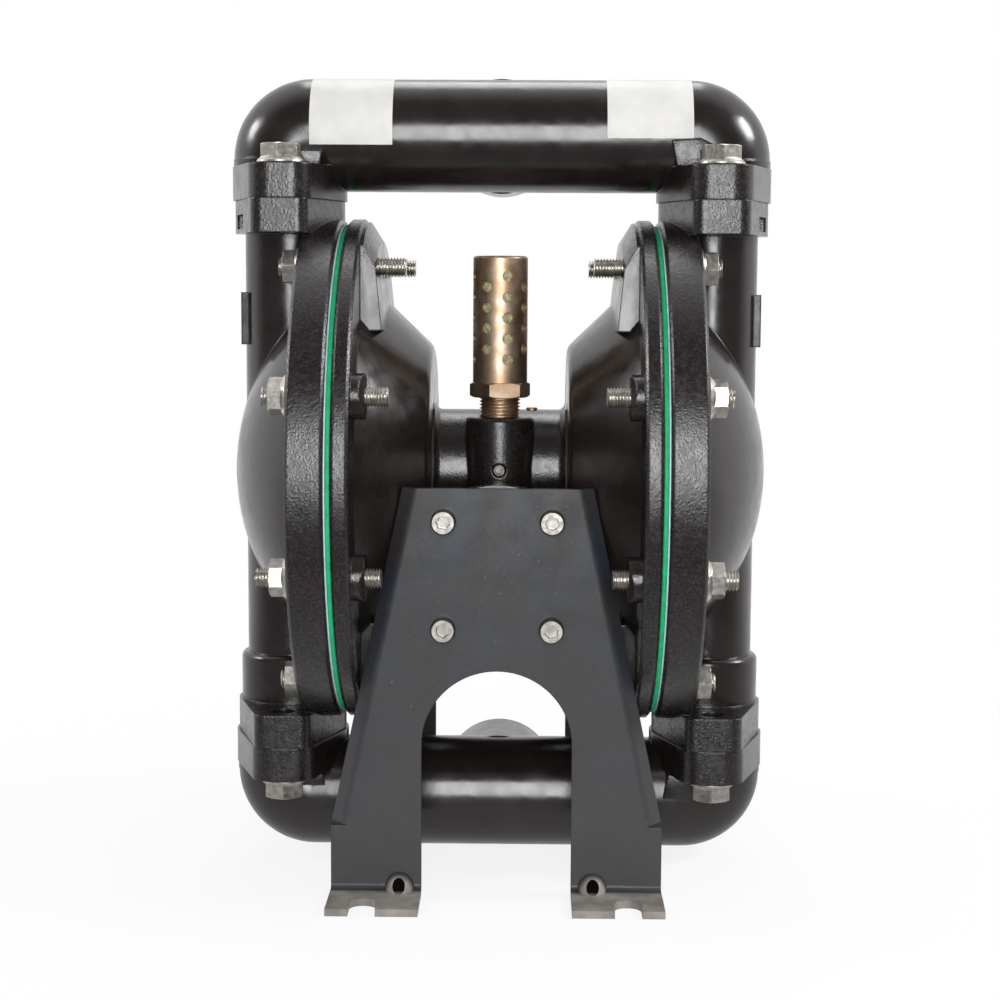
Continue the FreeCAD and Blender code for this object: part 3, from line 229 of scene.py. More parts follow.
def steel_fastener(name, low, high, glossy, dull):
    material = new_material(name)
    where = add(material, "ShaderNodeTexCoord").outputs["Object"]
    tone = mottled(material, where, 2.5 * MM, paint(low), paint(high))
    gloss = mottled(material, where, 1.2 * MM, grey(glossy), grey(dull))
    fine = add(material, "ShaderNodeTexNoise", {"Vector": where, "Scale": 1 / (0.6 * MM), "Detail": 3.0})
    soft_edge = add(material, "ShaderNodeBevel", {"Radius": 0.25 * MM}, samples=4)
    bumps = add(material, "ShaderNodeBump", {"Strength": 0.05, "Distance": 0.05 * MM, "Height": fine.outputs[0],
                                             "Normal": soft_edge.outputs[0]})
    return finish_material(material, Base_Color=tone, Metallic=1.0, Roughness=gloss, Normal=bumps.outputs[0])


def zinc_plate():
    # Bright zinc on cold-headed steel: pale warm grey, faintly clouded, with fine drawing marks.
    return steel_fastener("bright_zinc_on_cold_headed_steel", "#b5b1aa", "#d8d4cd", 0.3, 0.46)


def plain_stainless():
    # Bead-blasted stainless steel: a darker, duller grey than the zinc.
    return steel_fastener("blasted_stainless_steel", "#8d8a85", "#aeaaa4", 0.34, 0.46)


def black_oxide():
    # Black oxide on hardened steel, drawn in mid greys.
    return steel_fastener("black_oxide_on_hardened_steel", "#4a4745", "#6b6764", 0.3, 0.42)


def turned_bronze():
    # Drawn and turned tin bronze, gone a little brown in the air: pale straw lights, brown marks.
    material = new_material("drawn_tin_bronze")
    where = add(material, "ShaderNodeTexCoord").outputs["Object"]
    tone = mottled(material, where, 7 * MM, paint("#b8987b"), paint("#d2bca5"))
    gloss = mottled(material, where, 3 * MM, grey(0.42), grey(0.5))
    fine = add(material, "ShaderNodeTexNoise", {"Vector": where, "Scale": 1 / (0.7 * MM), "Detail": 3.0})
    soft_edge = add(material, "ShaderNodeBevel", {"Radius": 0.25 * MM}, samples=4)
    bumps = add(material, "ShaderNodeBump", {"Strength": 0.05, "Distance": 0.05 * MM, "Height": fine.outputs[0],
                                             "Normal": soft_edge.outputs[0]})
    return finish_material(material, Base_Color=tone, Metallic=1.0, Roughness=gloss, Normal=bumps.outputs[0])


def sintered_bronze():
    # Sintered bronze beads of about 0.5 mm, drawn at 0.9 mm so that they show: olive and dull.
    material = new_material("sintered_bronze_beads")
    where = add(material, "ShaderNodeTexCoord").outputs["Object"]
    beads = add(material, "ShaderNodeTexVoronoi", {"Vector": where, "Scale": 1 / (0.9 * MM)})
    tone = mottled(material, where, 2 * MM, paint("#8d8862"), paint("#c3be9c"))
    bumps = add(material, "ShaderNodeBump", {"Strength": 0.9, "Distance": 0.3 * MM, "Height": beads.outputs[0]},
                invert=True)
    return finish_material(material, Base_Color=tone, Metallic=0.35, Roughness=0.6, Normal=bumps.outputs[0])


def ground_steel():
    # Ground and polished stainless bar: bright, with fine rings from the wheel.
    material = new_material("ground_stainless_bar")
    where = add(material, "ShaderNodeTexCoord").outputs["Object"]
    tone = mottled(material, where, 5 * MM, paint("#bcbdbf"), paint("#cfd0d1"))
    gloss = mottled(material, where, 1 * MM, grey(0.14), grey(0.24))
    return finish_material(material, Base_Color=tone, Metallic=1.0, Roughness=gloss)


def turned_aluminium():
    # Turned aluminium: paler and softer than the steel.
    material = new_material("turned_aluminium")
    where = add(material, "ShaderNodeTexCoord").outputs["Object"]
    tone = mottled(material, where, 5 * MM, paint("#c6c7c9"), paint("#dadbdc"))
    gloss = mottled(material, where, 1 * MM, grey(0.28), grey(0.4))
    return finish_material(material, Base_Color=tone, Metallic=1.0, Roughness=gloss)


def moulded_plastic():
    # Compression-moulded fluoropolymer balls: waxy and nearly white.
    material = new_material("moulded_fluoropolymer")
    where = add(material, "ShaderNodeTexCoord").outputs["Object"]
    tone = mottled(material, where, 5 * MM, paint("#e6e6df"), paint("#f0f0ea"))
    return finish_material(material, Base_Color=tone, Roughness=0.3)


def seal_rubber():
    # Black nitrile rings, matt.
    material = new_material("black_nitrile_rubber")
    where = add(material, "ShaderNodeTexCoord").outputs["Object"]
    tone = mottled(material, where, 3 * MM, paint("#161616"), paint("#1f1f20"))
    return finish_material(material, Base_Color=tone, Roughness=0.6)


def gasket_fibre():
    # Calendered fibre sheet: brown-grey with short fibres.
    material = new_material("calendered_fibre_sheet")
    where = add(material, "ShaderNodeTexCoord").outputs["Object"]
    tone = mottled(material, where, 1.5 * MM, paint("#574b40"), paint("#6b5e50"))
    return finish_material(material, Base_Color=tone, Roughness=0.8)


def label_paper():
    # Blank self-adhesive polyester label: smooth white film, a touch warm.
    material = new_material("white_polyester_label")
    where = add(material, "ShaderNodeTexCoord").outputs["Object"]
    tone = mottled(material, where, 12 * MM, paint("#d3d2cf"), paint("#dddcd9"))
    return finish_material(material, Base_Color=tone, Roughness=0.45, Specular_IOR_Level=0.3)


# Shapes

def dressed(piece, material):
    piece.data.materials.clear()
    piece.data.materials.append(material)
    return piece


def in_mm(points):
    return [(across * MM, along * MM) for across, along in points]


def drawn_line(name, points):
    """An open line in the XZ plane, drawn point by point."""
    deselect()
    bpy.ops.mesh.primitive_plane_add(size=MM)
    piece = bpy.context.object
    piece.name = name
    bpy.ops.object.mode_set(mode="EDIT")
    bpy.ops.mesh.merge(type="CENTER")
    bpy.ops.transform.translate(value=(points[0][0], 0, points[0][1]))
    for before, after in zip(points, points[1:]):
        step = (after[0] - before[0], 0, after[1] - before[1])
        bpy.ops.mesh.extrude_region_move(TRANSFORM_OT_translate={"value": step})
    bpy.ops.object.mode_set(mode="OBJECT")
    return piece


def weld(piece, angle=30):
    pick(piece)
    bpy.ops.object.mode_set(mode="EDIT")
    bpy.ops.mesh.select_all(action="SELECT")
    bpy.ops.mesh.remove_doubles(threshold=WELD_GAP)
    bpy.ops.mesh.normals_make_consistent(inside=False)
    bpy.ops.object.mode_set(mode="OBJECT")
    bpy.ops.object.shade_smooth_by_angle(angle=math.radians(angle))
    return piece


def turned(name, points, around=48):
    """A closed solid turned about Z from a line that starts and ends on the axis or meets itself."""
    piece = drawn_line(name, points)
    bpy.ops.object.mode_set(mode="EDIT")
    bpy.ops.mesh.select_all(action="SELECT")
    bpy.ops.mesh.spin(steps=around, angle=2 * math.pi, center=(0, 0, 0), axis=(0, 0, 1))
    return weld(piece)


def apply_all(piece):
    pick(piece)
    for modifier in list(piece.modifiers):
        bpy.ops.object.modifier_apply(modifier=modifier.name)


def carve(piece, tool, operation):
    """The piece cut by, or kept only inside, the tool, which is then removed."""
    modifier = piece.modifiers.new("carve", "BOOLEAN")
    modifier.operation = operation
    modifier.solver = "EXACT"
    modifier.object = tool
    if tool.data.materials:
        modifier.material_mode = "TRANSFER"
    apply_all(piece)
    bpy.data.objects.remove(tool)
    return piece


def thread(name, radius, pitch, length):
    """A helical thread about Z from z = 0 up to length, cut off square at both ends."""
    root = radius - 0.6 * pitch
    ridge = pitch / 8
    line = [(root, 0), (root, pitch / 4), (radius, (pitch - ridge) / 2 + pitch / 8),
            (radius, (pitch + ridge) / 2 + pitch / 8), (root, pitch)]
    piece = drawn_line(name, line)
    turns = int(length / pitch) + 3
    screw = piece.modifiers.new("helix", "SCREW")
    screw.steps = screw.render_steps = 20
    screw.screw_offset = pitch
    screw.iterations = turns
    screw.use_merge_vertices = True
    apply_all(piece)
    bpy.ops.object.mode_set(mode="EDIT")
    bpy.ops.mesh.select_all(action="SELECT")
    bpy.ops.mesh.remove_doubles(threshold=WELD_GAP)
    bpy.ops.transform.translate(value=(0, 0, -1.5 * pitch))
    for height, below in ((0, True), (length, False)):
        bpy.ops.mesh.select_all(action="SELECT")
        bpy.ops.mesh.bisect(plane_co=(0, 0, height), plane_no=(0, 0, 1), use_fill=True, clear_inner=below,
                            clear_outer=not below)
    bpy.ops.object.mode_set(mode="OBJECT")
    return weld(piece)


def hex_prism(name, flats, height, turn=0.0, both_ends=False):
    """A hexagon with the turned chamfer that a bar or a forged head has, standing on z = 0."""
    deselect()
    corner = flats / math.sqrt(3)
    bpy.ops.mesh.primitive_cylinder_add(vertices=6, radius=corner, depth=height, location=(0, 0, height / 2),
                                        rotation=(0, 0, math.radians(turn + 30)))
    piece = bpy.context.object
    piece.name = name
    bpy.ops.object.transform_apply(location=True, rotation=True, scale=True)
    edge = flats / 2 + 0.02 * corner
    outside = 1.01 * corner
    slope = (outside - edge) / math.tan(math.radians(62))
    foot = [(0, 0), (edge, 0), (outside, slope)] if both_ends else [(0, -MM), (outside, -MM)]
    line = foot + [(outside, height - slope), (edge, height), (0, height)]
    return carve(piece, turned(name + "_lathe", line, 72), "INTERSECT")


def joined(name, pieces):
    deselect()
    for piece in pieces:
        piece.select_set(True)
    bpy.context.view_layer.objects.active = pieces[0]
    bpy.ops.object.join()
    made = bpy.context.object
    made.name = name
    return made


def copies(name, model, places):
    """One piece made of a copy of the model at each place, a matrix; the model is removed."""
    made = []
    for i, place in enumerate(places):
        copy = bpy.data.objects.new(f"{name}_{i}", model.data.copy())
        bpy.context.scene.collection.objects.link(copy)
        copy.data.transform(place)
        if place.determinant() < 0:
            copy.data.flip_normals()
        made.append(copy)
    bpy.data.objects.remove(model)
    return joined(name, made) if len(made) > 1 else made[0]


def along_x(side, x, y, z, turn=0.0):
    """Puts a piece drawn along +Z on a line along X, pointing outwards on that side."""
    tilt = Matrix.Rotation(side * math.pi / 2, 4, "Y")
    return Matrix.Translation((side * x, y, z)) @ tilt @ Matrix.Rotation(math.radians(turn), 4, "Z")


MATERIALS = {
    "cast_black": cast_iron_paint("black_enamel_on_cast_iron_caps", clamp_rims),
    "sheet_black": sheet_paint(), "green_rubber": green_rubber(),
    "overlay_film": overlay_film(), "zinc_steel": zinc_plate(), "bronze": turned_bronze(),
    "sintered": sintered_bronze(), "ground_steel": ground_steel(), "light_alloy": turned_aluminium(),
    "ball_plastic": moulded_plastic(), "seal_rubber": seal_rubber(), "gasket_fibre": gasket_fibre(),
}

SLOT_OF = {part["node"]: part["material_slot"] for part in frame["record"]["subparts"]}
for node, cad in NODES.items():
    cad.data.materials.clear()
    cad.data.materials.append(MATERIALS[SLOT_OF[node]])

EAR_PAINT = cast_iron_paint("black_enamel_on_cast_iron_manifolds", bolt_ears)
for node in ("discharge_manifold", "inlet_manifold"):
    NODES[node].data.materials[0] = EAR_PAINT
BODY_PAINT = cast_iron_paint("black_enamel_on_cast_iron_body", patches_everywhere)
NODES["center_body"].data.materials[0] = BODY_PAINT


# Camera, as recovered from the photograph

def place_camera():
    data = bpy.data.cameras.new("photo_camera")
    data.lens = 72.67
    data.sensor_width = 36
    camera = bpy.data.objects.new("photo_camera", data)
    bpy.context.scene.collection.objects.link(camera)
    pitch = math.radians(90 - 6.105)
    turn = Matrix.Rotation(math.radians(0.711), 4, "Z") @ Matrix.Rotation(pitch, 4, "X")
    turn = turn @ Matrix.Rotation(math.radians(0.311), 4, "Z")
    place = Matrix.Translation((10.742 * MM, -865.185 * MM, AXIS_Z + 78.984 * MM))
    camera.matrix_world = place @ turn
    bpy.context.scene.camera = camera


place_camera()


# Fasteners

CIRCLE_R = 92.65 * MM
NUT_SEAT_X = 81.0 * MM
STUD_ANGLES = [22.5 + 45 * i for i in range(8)]


def stud_ends():
    """Where each stud starts and ends along X, in millimetres, from the solids."""
    ends = []
    for angle in STUD_ANGLES:
        y = math.cos(math.radians(angle))
        z = math.sin(math.radians(angle))
        if abs(y) > abs(z):
            end, length = (91.3 if z > 0 else 94.0), 49.0
        else:
            end, length = (90.3 if z > 0 else 90.4), 52.0
        ends.append((end - length, end))
    return ends


def clamp_studs():
    for prefix, side in SIDES:
        rods = []
        for angle, (start, end) in zip(STUD_ANGLES, stud_ends()):
            y = CIRCLE_R * math.cos(math.radians(angle))
            z = CIRCLE_R * math.sin(math.radians(angle))
            rod = thread("stud", 4.0 * MM, STUD_PITCH, (end - start) * MM)
            rod.data.transform(along_x(side, start * MM, y, AXIS_Z + z, angle))
            rods.append(rod)
        piece = joined(prefix + "threaded_studs", rods)
        dressed(piece, MATERIALS["zinc_steel"])
        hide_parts(prefix + "clamp_studs")
        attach(piece, "pump_body")


def flange_nut():
    """An M8 flange nut, standing on z = 0: chamfered hexagon on a flared washer face."""
    body = hex_prism("nut_body", 13 * MM, 7.5 * MM)
    skirt = turned("nut_skirt", in_mm([(4.1, 0), (8.5, 0), (8.85, 0.35), (8.75, 0.8), (7.9, 1.45), (7.2, 2.1),
                                       (6.3, 2.6), (4.1, 2.6), (4.1, 0)]))
    bore = in_mm([(0, -1), (4.1, -1), (4.1, 6.8), (4.9, 7.6), (0, 7.6)])
    carve(body, turned("nut_bore", bore, 32), "DIFFERENCE")
    nut = joined("nut", [body, skirt])
    bpy.ops.object.shade_smooth_by_angle(angle=math.radians(28))
    return nut


def clamp_nuts():
    for prefix, side in SIDES:
        places = []
        for i, angle in enumerate(STUD_ANGLES):
            y = CIRCLE_R * math.cos(math.radians(angle))
            z = CIRCLE_R * math.sin(math.radians(angle))
            places.append(along_x(side, NUT_SEAT_X, y, AXIS_Z + z, 17.0 * i))
        piece = copies(prefix + "flange_nuts", flange_nut(), places)
        dressed(piece, MATERIALS["zinc_steel"])
        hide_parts(prefix + "clamp_nuts")
        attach(piece, "pump_body")


BOLT_X = 89.7 * MM
BOLT_Y = 34.0 * MM
BOLT_TURNS = (27, 17, 33, 51)


def manifold_bolt():
    """An M10 flange bolt, its head standing on z = 0 and its shank below."""
    head = hex_prism("bolt_hex", 15 * MM, 8 * MM)
    dish = in_mm([(0, 7.4), (5.2, 7.4), (5.8, 8.1), (0, 8.1)])
    carve(head, turned("bolt_dish", dish, 32), "DIFFERENCE")
    skirt = turned("bolt_skirt", in_mm([(0, 0), (9.5, 0), (9.8, 0.4), (9.7, 1.1), (8.9, 1.9), (8.0, 2.5),
                                        (7.0, 3.0), (0, 3.0)]))
    length = 24 * MM
    shank = thread("bolt_shank", 5 * MM, 1.5 * MM, length)
    shank.data.transform(Matrix.Translation((0, 0, -length)))
    bolt = joined("bolt", [head, skirt, shank])
    bpy.ops.object.shade_smooth_by_angle(angle=math.radians(28))
    return bolt


def manifold_bolts():
    for node, up in (("discharge_manifold_bolts", 1), ("inlet_manifold_bolts", -1)):
        places = []
        spots = [(x, y) for x in (-BOLT_X, BOLT_X) for y in (-BOLT_Y, BOLT_Y)]
        for i, (x, y) in enumerate(spots):
            place = Matrix.Translation((x, y, AXIS_Z + up * FLANGE_TOP))
            if up < 0:
                place = place @ Matrix.Rotation(math.pi, 4, "X")
            places.append(place @ Matrix.Rotation(math.radians(BOLT_TURNS[i]), 4, "Z"))
        piece = copies(node + "_threaded", manifold_bolt(), places)
        dressed(piece, MATERIALS["zinc_steel"])
        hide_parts(node)
        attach(piece, "pump_body")


def socket_screw():
    """An M6 socket screw: head on z = 0 with a knurled side, rounded top edge and hexagon socket."""
    deselect()
    bpy.ops.mesh.primitive_cylinder_add(vertices=72, radius=5 * MM, depth=6 * MM, location=(0, 0, 3 * MM))
    head = bpy.context.object
    bpy.ops.object.transform_apply(location=True, rotation=True, scale=True)
    bpy.ops.object.mode_set(mode="EDIT")
    bpy.ops.mesh.select_all(action="SELECT")
    bpy.ops.mesh.bisect(plane_co=(0, 0, 0.7 * MM), plane_no=(0, 0, 1))
    bpy.ops.mesh.select_all(action="SELECT")
    bpy.ops.mesh.bisect(plane_co=(0, 0, 4.9 * MM), plane_no=(0, 0, 1))
    bpy.ops.mesh.select_all(action="DESELECT")
    bpy.ops.object.mode_set(mode="OBJECT")
    for vertex in head.data.vertices:
        angle = math.atan2(vertex.co.y, vertex.co.x)
        ring = round(angle / math.radians(5))
        vertex.select = ring % 2 == 0 and 0.5 * MM < vertex.co.z < 5.2 * MM
    bpy.ops.object.mode_set(mode="EDIT")
    bpy.ops.mesh.select_mode(type="VERT")
    bpy.ops.transform.resize(value=(0.955, 0.955, 1))
    bpy.ops.mesh.select_all(action="DESELECT")
    bpy.ops.object.mode_set(mode="OBJECT")
    for vertex in head.data.vertices:
        vertex.select = vertex.co.z > 5.9 * MM
    bpy.ops.object.mode_set(mode="EDIT")
    bpy.ops.transform.resize(value=(0.88, 0.88, 1))
    bpy.ops.object.mode_set(mode="OBJECT")
    carve(head, hex_tool(5 * MM, 2.8 * MM, 6.2 * MM), "DIFFERENCE")
    length = 20 * MM
    shank = thread("screw_shank", 3 * MM, 1.0 * MM, length)
    shank.data.transform(Matrix.Translation((0, 0, -length)))
    screw = joined("screw", [head, shank])
    bpy.ops.object.shade_smooth_by_angle(angle=math.radians(28))
    return screw


def hex_tool(flats, low, high):
    deselect()
    bpy.ops.mesh.primitive_cylinder_add(vertices=6, radius=flats / math.sqrt(3), depth=high - low,
                                        location=(0, 0, (low + high) / 2))
    bpy.ops.object.transform_apply(location=True, rotation=True, scale=True)
    return bpy.context.object


SCREW_SPACING = 43.3 * MM
SCREWS_BELOW_AXIS = 36.7 * MM
BRACKET_FACE_Y = 68.0 * MM


def bracket_screws():
    stainless = plain_stainless()
    half = SCREW_SPACING / 2
    for prefix, facing in FACINGS:
        places = []
        for i, (x, z) in enumerate([(x, z) for x in (-half, half) for z in (-half, half)]):
            tilt = Matrix.Rotation(-facing * math.pi / 2, 4, "X")
            spot = Matrix.Translation((x, facing * BRACKET_FACE_Y, AXIS_Z + z - SCREWS_BELOW_AXIS))
            places.append(spot @ tilt @ Matrix.Rotation(math.radians(23.0 * i), 4, "Z"))
        piece = copies(prefix + "socket_screws", socket_screw(), places)
        dressed(piece, stainless)
        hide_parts(prefix + "bracket_screws")
        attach(piece, "pump_body")


clamp_studs()
clamp_nuts()
manifold_bolts()
bracket_screws()


# Brackets: the solids' plain foot stiffeners made as pressed

FOOT_BEND_X = 39.0
FOOT_BEND_Y = 68.0
SHEET_T = 3.0


def box_tool(low, high):
    deselect()
    middle = [(a + b) / 2 * MM for a, b in zip(low, high)]
    bpy.ops.mesh.primitive_cube_add(size=1, location=middle, scale=[abs(b - a) * MM for a, b in zip(low, high)])
    bpy.ops.object.transform_apply(location=True, rotation=True, scale=True)
    return bpy.context.object


def stiffener(x):
    """A rounded dart pressed into the rear bracket's bend, with a punched hollow in its face whose inside carries
    painted shade.
    """
    deselect()
    bpy.ops.mesh.primitive_uv_sphere_add(segments=64, ring_count=32, radius=MM, scale=(6.0, 8.4, 7.0),
                                         location=(x * MM, FOOT_BEND_Y * MM, SHEET_T * MM))
    dart = bpy.context.object
    bpy.ops.object.transform_apply(location=True, rotation=True, scale=True)
    dart.data.materials.append(MATERIALS["sheet_black"])
    quarter = box_tool((x - 7, FOOT_BEND_Y - 1.5, SHEET_T - 1.5), (x + 7, FOOT_BEND_Y + 10, SHEET_T + 9))
    carve(dart, quarter, "INTERSECT")
    deselect()
    bpy.ops.mesh.primitive_cylinder_add(vertices=48, radius=MM, depth=10 * MM, scale=(2.5, 3.4, 1.0),
                                        location=(x * MM, (FOOT_BEND_Y + 8.3) * MM, (SHEET_T + 3.4) * MM),
                                        rotation=(math.radians(-70), 0, 0))
    punch = bpy.context.object
    bpy.ops.object.transform_apply(location=True, rotation=True, scale=True)
    # The hollow's inside gets the near-black painted shade.
    punch.data.materials.append(HOLLOW_SHADE)
    return carve(dart, punch, "DIFFERENCE")


def painted_hollow_shade():
    # Painted shade: the inside of a punched hollow, drawn almost black to stand for its shadow.
    material = new_material("painted_shade_in_hollow")
    where = add(material, "ShaderNodeTexCoord").outputs["Object"]
    tone = mottled(material, where, 2 * MM, paint("#060505"), paint("#0d0c0c"))
    return finish_material(material, Base_Color=tone, Roughness=0.9, Specular_IOR_Level=0.1)


HOLLOW_SHADE = painted_hollow_shade()


def pressed_bracket(prefix, facing):
    piece = bpy.data.objects.new(prefix + "pressed_bracket", NODES[prefix + "bracket"].data.copy())
    bpy.context.scene.collection.objects.link(piece)
    pick(piece)
    bpy.ops.mesh.customdata_custom_splitnormals_clear()
    bpy.ops.object.mode_set(mode="EDIT")
    bpy.ops.mesh.select_all(action="SELECT")
    bpy.ops.mesh.remove_doubles(threshold=WELD_GAP)
    bpy.ops.object.mode_set(mode="OBJECT")
    darts = []
    for x in (-FOOT_BEND_X, FOOT_BEND_X):
        near, far = sorted((facing * (FOOT_BEND_Y - 0.01), facing * (FOOT_BEND_Y + 9)))
        carve(piece, box_tool((x - 3.3, near, SHEET_T - 0.01), (x + 3.3, far, SHEET_T + 9)), "DIFFERENCE")
        dart = stiffener(x)
        if facing < 0:
            dart.data.transform(Matrix.Scale(-1, 4, (0, 1, 0)))
            dart.data.flip_normals()
        darts.append(dart)
    pick(piece)
    bpy.ops.object.shade_smooth_by_angle(angle=math.radians(30))
    piece.modifiers.new("flat_faces_lead", "WEIGHTED_NORMAL").keep_sharp = True
    apply_all(piece)
    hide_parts(prefix + "bracket")
    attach(piece, "pump_body")
    both = joined(prefix + "foot_stiffeners", darts)
    bpy.ops.object.shade_smooth_by_angle(angle=math.radians(30))
    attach(both, "pump_body")


for prefix, facing in FACINGS:
    pressed_bracket(prefix, facing)


# Diaphragms, clamped between the caps with their edges showing

DISC_R = 103.7
BORE_R = 5.5
STUD_HOLE_R = 4.5
FOLD_START_R = 44.0
FOLD_END_R = 74.05
FOLD_RISE = 9.0
SECTORS = 16
FACETS_PER_SECTOR = 11


def fold_arc(x):
    """The rolling fold on one face of a disc, from the plate's edge out to the chamber's mouth."""
    middle = (FOLD_START_R + FOLD_END_R) / 2
    half = (FOLD_END_R - FOLD_START_R) / 2
    radius = (half ** 2 + FOLD_RISE ** 2) / (2 * FOLD_RISE)
    limit = math.asin(half / radius)
    angles = [limit * (i / 8 - 1) for i in range(17)]
    return [(middle + radius * math.sin(a), x + FOLD_RISE + radius * (math.cos(a) - 1)) for a in angles]


def flexing(disc):
    """The disc cut into sectors, one for each direction out from the axis, which are then
    joined again with their seams merged."""
    name = disc.name
    half_angle = math.pi / SECTORS
    sectors = []
    for i in range(SECTORS):
        middle = (2 * i + 1) * half_angle
        outward = Vector((0, math.cos(middle), math.sin(middle)))
        sector = bpy.data.objects.new("sector", disc.data.copy())
        bpy.context.scene.collection.objects.link(sector)
        pick(sector)
        bpy.ops.object.mode_set(mode="EDIT")
        bpy.ops.mesh.select_mode(type="FACE")
        bpy.ops.mesh.select_all(action="DESELECT")
        bpy.ops.object.mode_set(mode="OBJECT")
        for face in sector.data.polygons:
            reach = face.center - Vector((face.center.x, 0, AXIS_Z))
            face.select = reach.angle(outward) > half_angle
        bpy.ops.object.mode_set(mode="EDIT")
        bpy.ops.mesh.delete(type="FACE")
        bpy.ops.object.mode_set(mode="OBJECT")
        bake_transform(sector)
        sectors.append(sector)
    bpy.data.objects.remove(disc)
    disc = joined(name, sectors)
    pick(disc)
    bpy.ops.object.mode_set(mode="EDIT")
    bpy.ops.mesh.select_mode(type="VERT")
    bpy.ops.mesh.select_all(action="SELECT")
    bpy.ops.mesh.remove_doubles(threshold=0.001 * MM)
    bpy.ops.object.mode_set(mode="OBJECT")
    bpy.ops.object.shade_smooth_by_angle(angle=math.radians(30))
    return disc


def diaphragm(prefix, side, kind, slot, x_low, x_high):
    """A moulded disc with a rounded edge, a rolling fold and eight stud holes."""
    soft = 0.3 * (x_high - x_low)
    edge = [(DISC_R - soft, x_low), (DISC_R - 0.3 * soft, x_low + 0.3 * soft), (DISC_R, x_low + soft),
            (DISC_R, x_high - soft), (DISC_R - 0.3 * soft, x_high - 0.3 * soft), (DISC_R - soft, x_high)]
    bore = [(BORE_R, x_high), (BORE_R, x_low)]
    line = bore[1:] + fold_arc(x_low) + edge + fold_arc(x_high)[::-1] + bore
    disc = turned("disc", in_mm(line), SECTORS * FACETS_PER_SECTOR)
    deselect()
    bpy.ops.mesh.primitive_cylinder_add(vertices=32, radius=STUD_HOLE_R * MM, depth=6 * MM,
                                        location=(0, 0, x_low * MM))
    places = []
    for angle in STUD_ANGLES:
        reach = Vector((CIRCLE_R * math.cos(math.radians(angle)), CIRCLE_R * math.sin(math.radians(angle)), 0))
        places.append(Matrix.Translation(reach + Vector((0, 0, x_low * MM))))
    punch = bpy.context.object
    bpy.ops.object.transform_apply(location=False, rotation=True, scale=True)
    carve(disc, copies("stud_holes", punch, places), "DIFFERENCE")
    disc.data.transform(along_x(side, 0, 0, AXIS_Z))
    disc.name = prefix + "moulded_" + kind
    disc = flexing(disc)
    dressed(disc, MATERIALS[slot])
    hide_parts(prefix + kind)


for prefix, side in SIDES:
    diaphragm(prefix, side, "diaphragm", "green_rubber", 63.5, 65.5)
    diaphragm(prefix, side, "overlay_diaphragm", "overlay_film", 65.5, 66.1)


# Flat pads behind the manifold bolts, where a wrench turns: they stand on the eared flange, against the tube

PAD_FRONT_Y = 24.0 * MM
PAD_DEPTH = 8 * MM


def bolt_pads():
    """The left pads are lower than the right ones, to clear the label."""
    right = [(70.0, 138.4), (72.3, 127.4), (91.0, 127.4), (90.0, 135.5), (82.0, 139.3)]
    left = [(-73.6, 133.8), (-74.7, 127.4), (-91.0, 127.4), (-90.0, 135.0), (-84.8, 136.8), (-83.6, 133.8)]
    for name, corners in (("right_bolt_pads", right), ("left_bolt_pads", left)):
        pad = drawn_line("pad", in_mm([*corners, corners[0]]))
        bpy.ops.object.mode_set(mode="EDIT")
        bpy.ops.mesh.select_all(action="SELECT")
        bpy.ops.mesh.remove_doubles(threshold=WELD_GAP)
        bpy.ops.mesh.edge_face_add()
        bpy.ops.mesh.extrude_region_move(TRANSFORM_OT_translate={"value": (0, PAD_DEPTH, 0)})
        bpy.ops.mesh.select_all(action="SELECT")
        bpy.ops.transform.translate(value=(0, -PAD_FRONT_Y, 0))
        bpy.ops.object.mode_set(mode="OBJECT")
        edge = pad.modifiers.new("soft_edge", "BEVEL")
        edge.width = 0.6 * MM
        edge.segments = 3
        apply_all(pad)
        pads = copies(name, pad, [Matrix.Translation((0, 0, AXIS_Z)) @ Matrix.Diagonal((1, front, up, 1))
                                  for front in (1, -1) for up in (1, -1)])
        pick(pads)
        bpy.ops.object.mode_set(mode="EDIT")
        bpy.ops.mesh.select_all(action="SELECT")
        bpy.ops.mesh.normals_make_consistent(inside=False)
        bpy.ops.object.mode_set(mode="OBJECT")
        bpy.ops.object.shade_smooth_by_angle(angle=math.radians(35))
        dressed(pads, BODY_PAINT)
        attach(pads, "pump_body")


bolt_pads()


# Set screw in the exhaust boss

def set_screw():
    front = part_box("boss_set_screw")[0][1]
    screw = turned("socket_set_screw", in_mm([(0, -6.0), (2.9, -6.0), (2.9, -0.7), (2.2, 0), (0, 0)]))
    carve(screw, hex_tool(3 * MM, -2.5 * MM, 0.2 * MM), "DIFFERENCE")
    bpy.ops.object.shade_smooth_by_angle(angle=math.radians(28))
    screw.data.transform(Matrix.Translation((0, front, AXIS_Z + 2.3 * MM)) @ Matrix.Rotation(math.pi / 2, 4, "X"))
    dressed(screw, black_oxide())
    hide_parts("boss_set_screw")
    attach(screw, "pump_body")


set_screw()


# Muffler base

MUFFLER_Y = -20.0 * MM


def muffler_base():
    """Pipe thread, hexagon and the spigot that the shell is pressed on."""
    hexagon = hex_prism("muffler_hexagon", 22.2 * MM, 6.2 * MM, turn=11.0, both_ends=True)
    hexagon.data.transform(Matrix.Translation((0, 0, 32.0 * MM)))
    pipe = thread("muffler_thread", 8.55 * MM, PIPE_PITCH, 21.0 * MM)
    pipe.data.transform(Matrix.Translation((0, 0, 11.0 * MM)))
    spigot = turned("muffler_spigot", in_mm([(0, 38.1), (10.1, 38.1), (10.1, 44.2), (0, 44.2)]))
    base = joined("muffler_base_threaded", [hexagon, pipe, spigot])
    base.data.transform(Matrix.Translation((0, MUFFLER_Y, AXIS_Z)))
    pick(base)
    bpy.ops.object.shade_smooth_by_angle(angle=math.radians(28))
    dressed(base, MATERIALS["bronze"])
    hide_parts("muffler_base")
    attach(base, "pump_body")


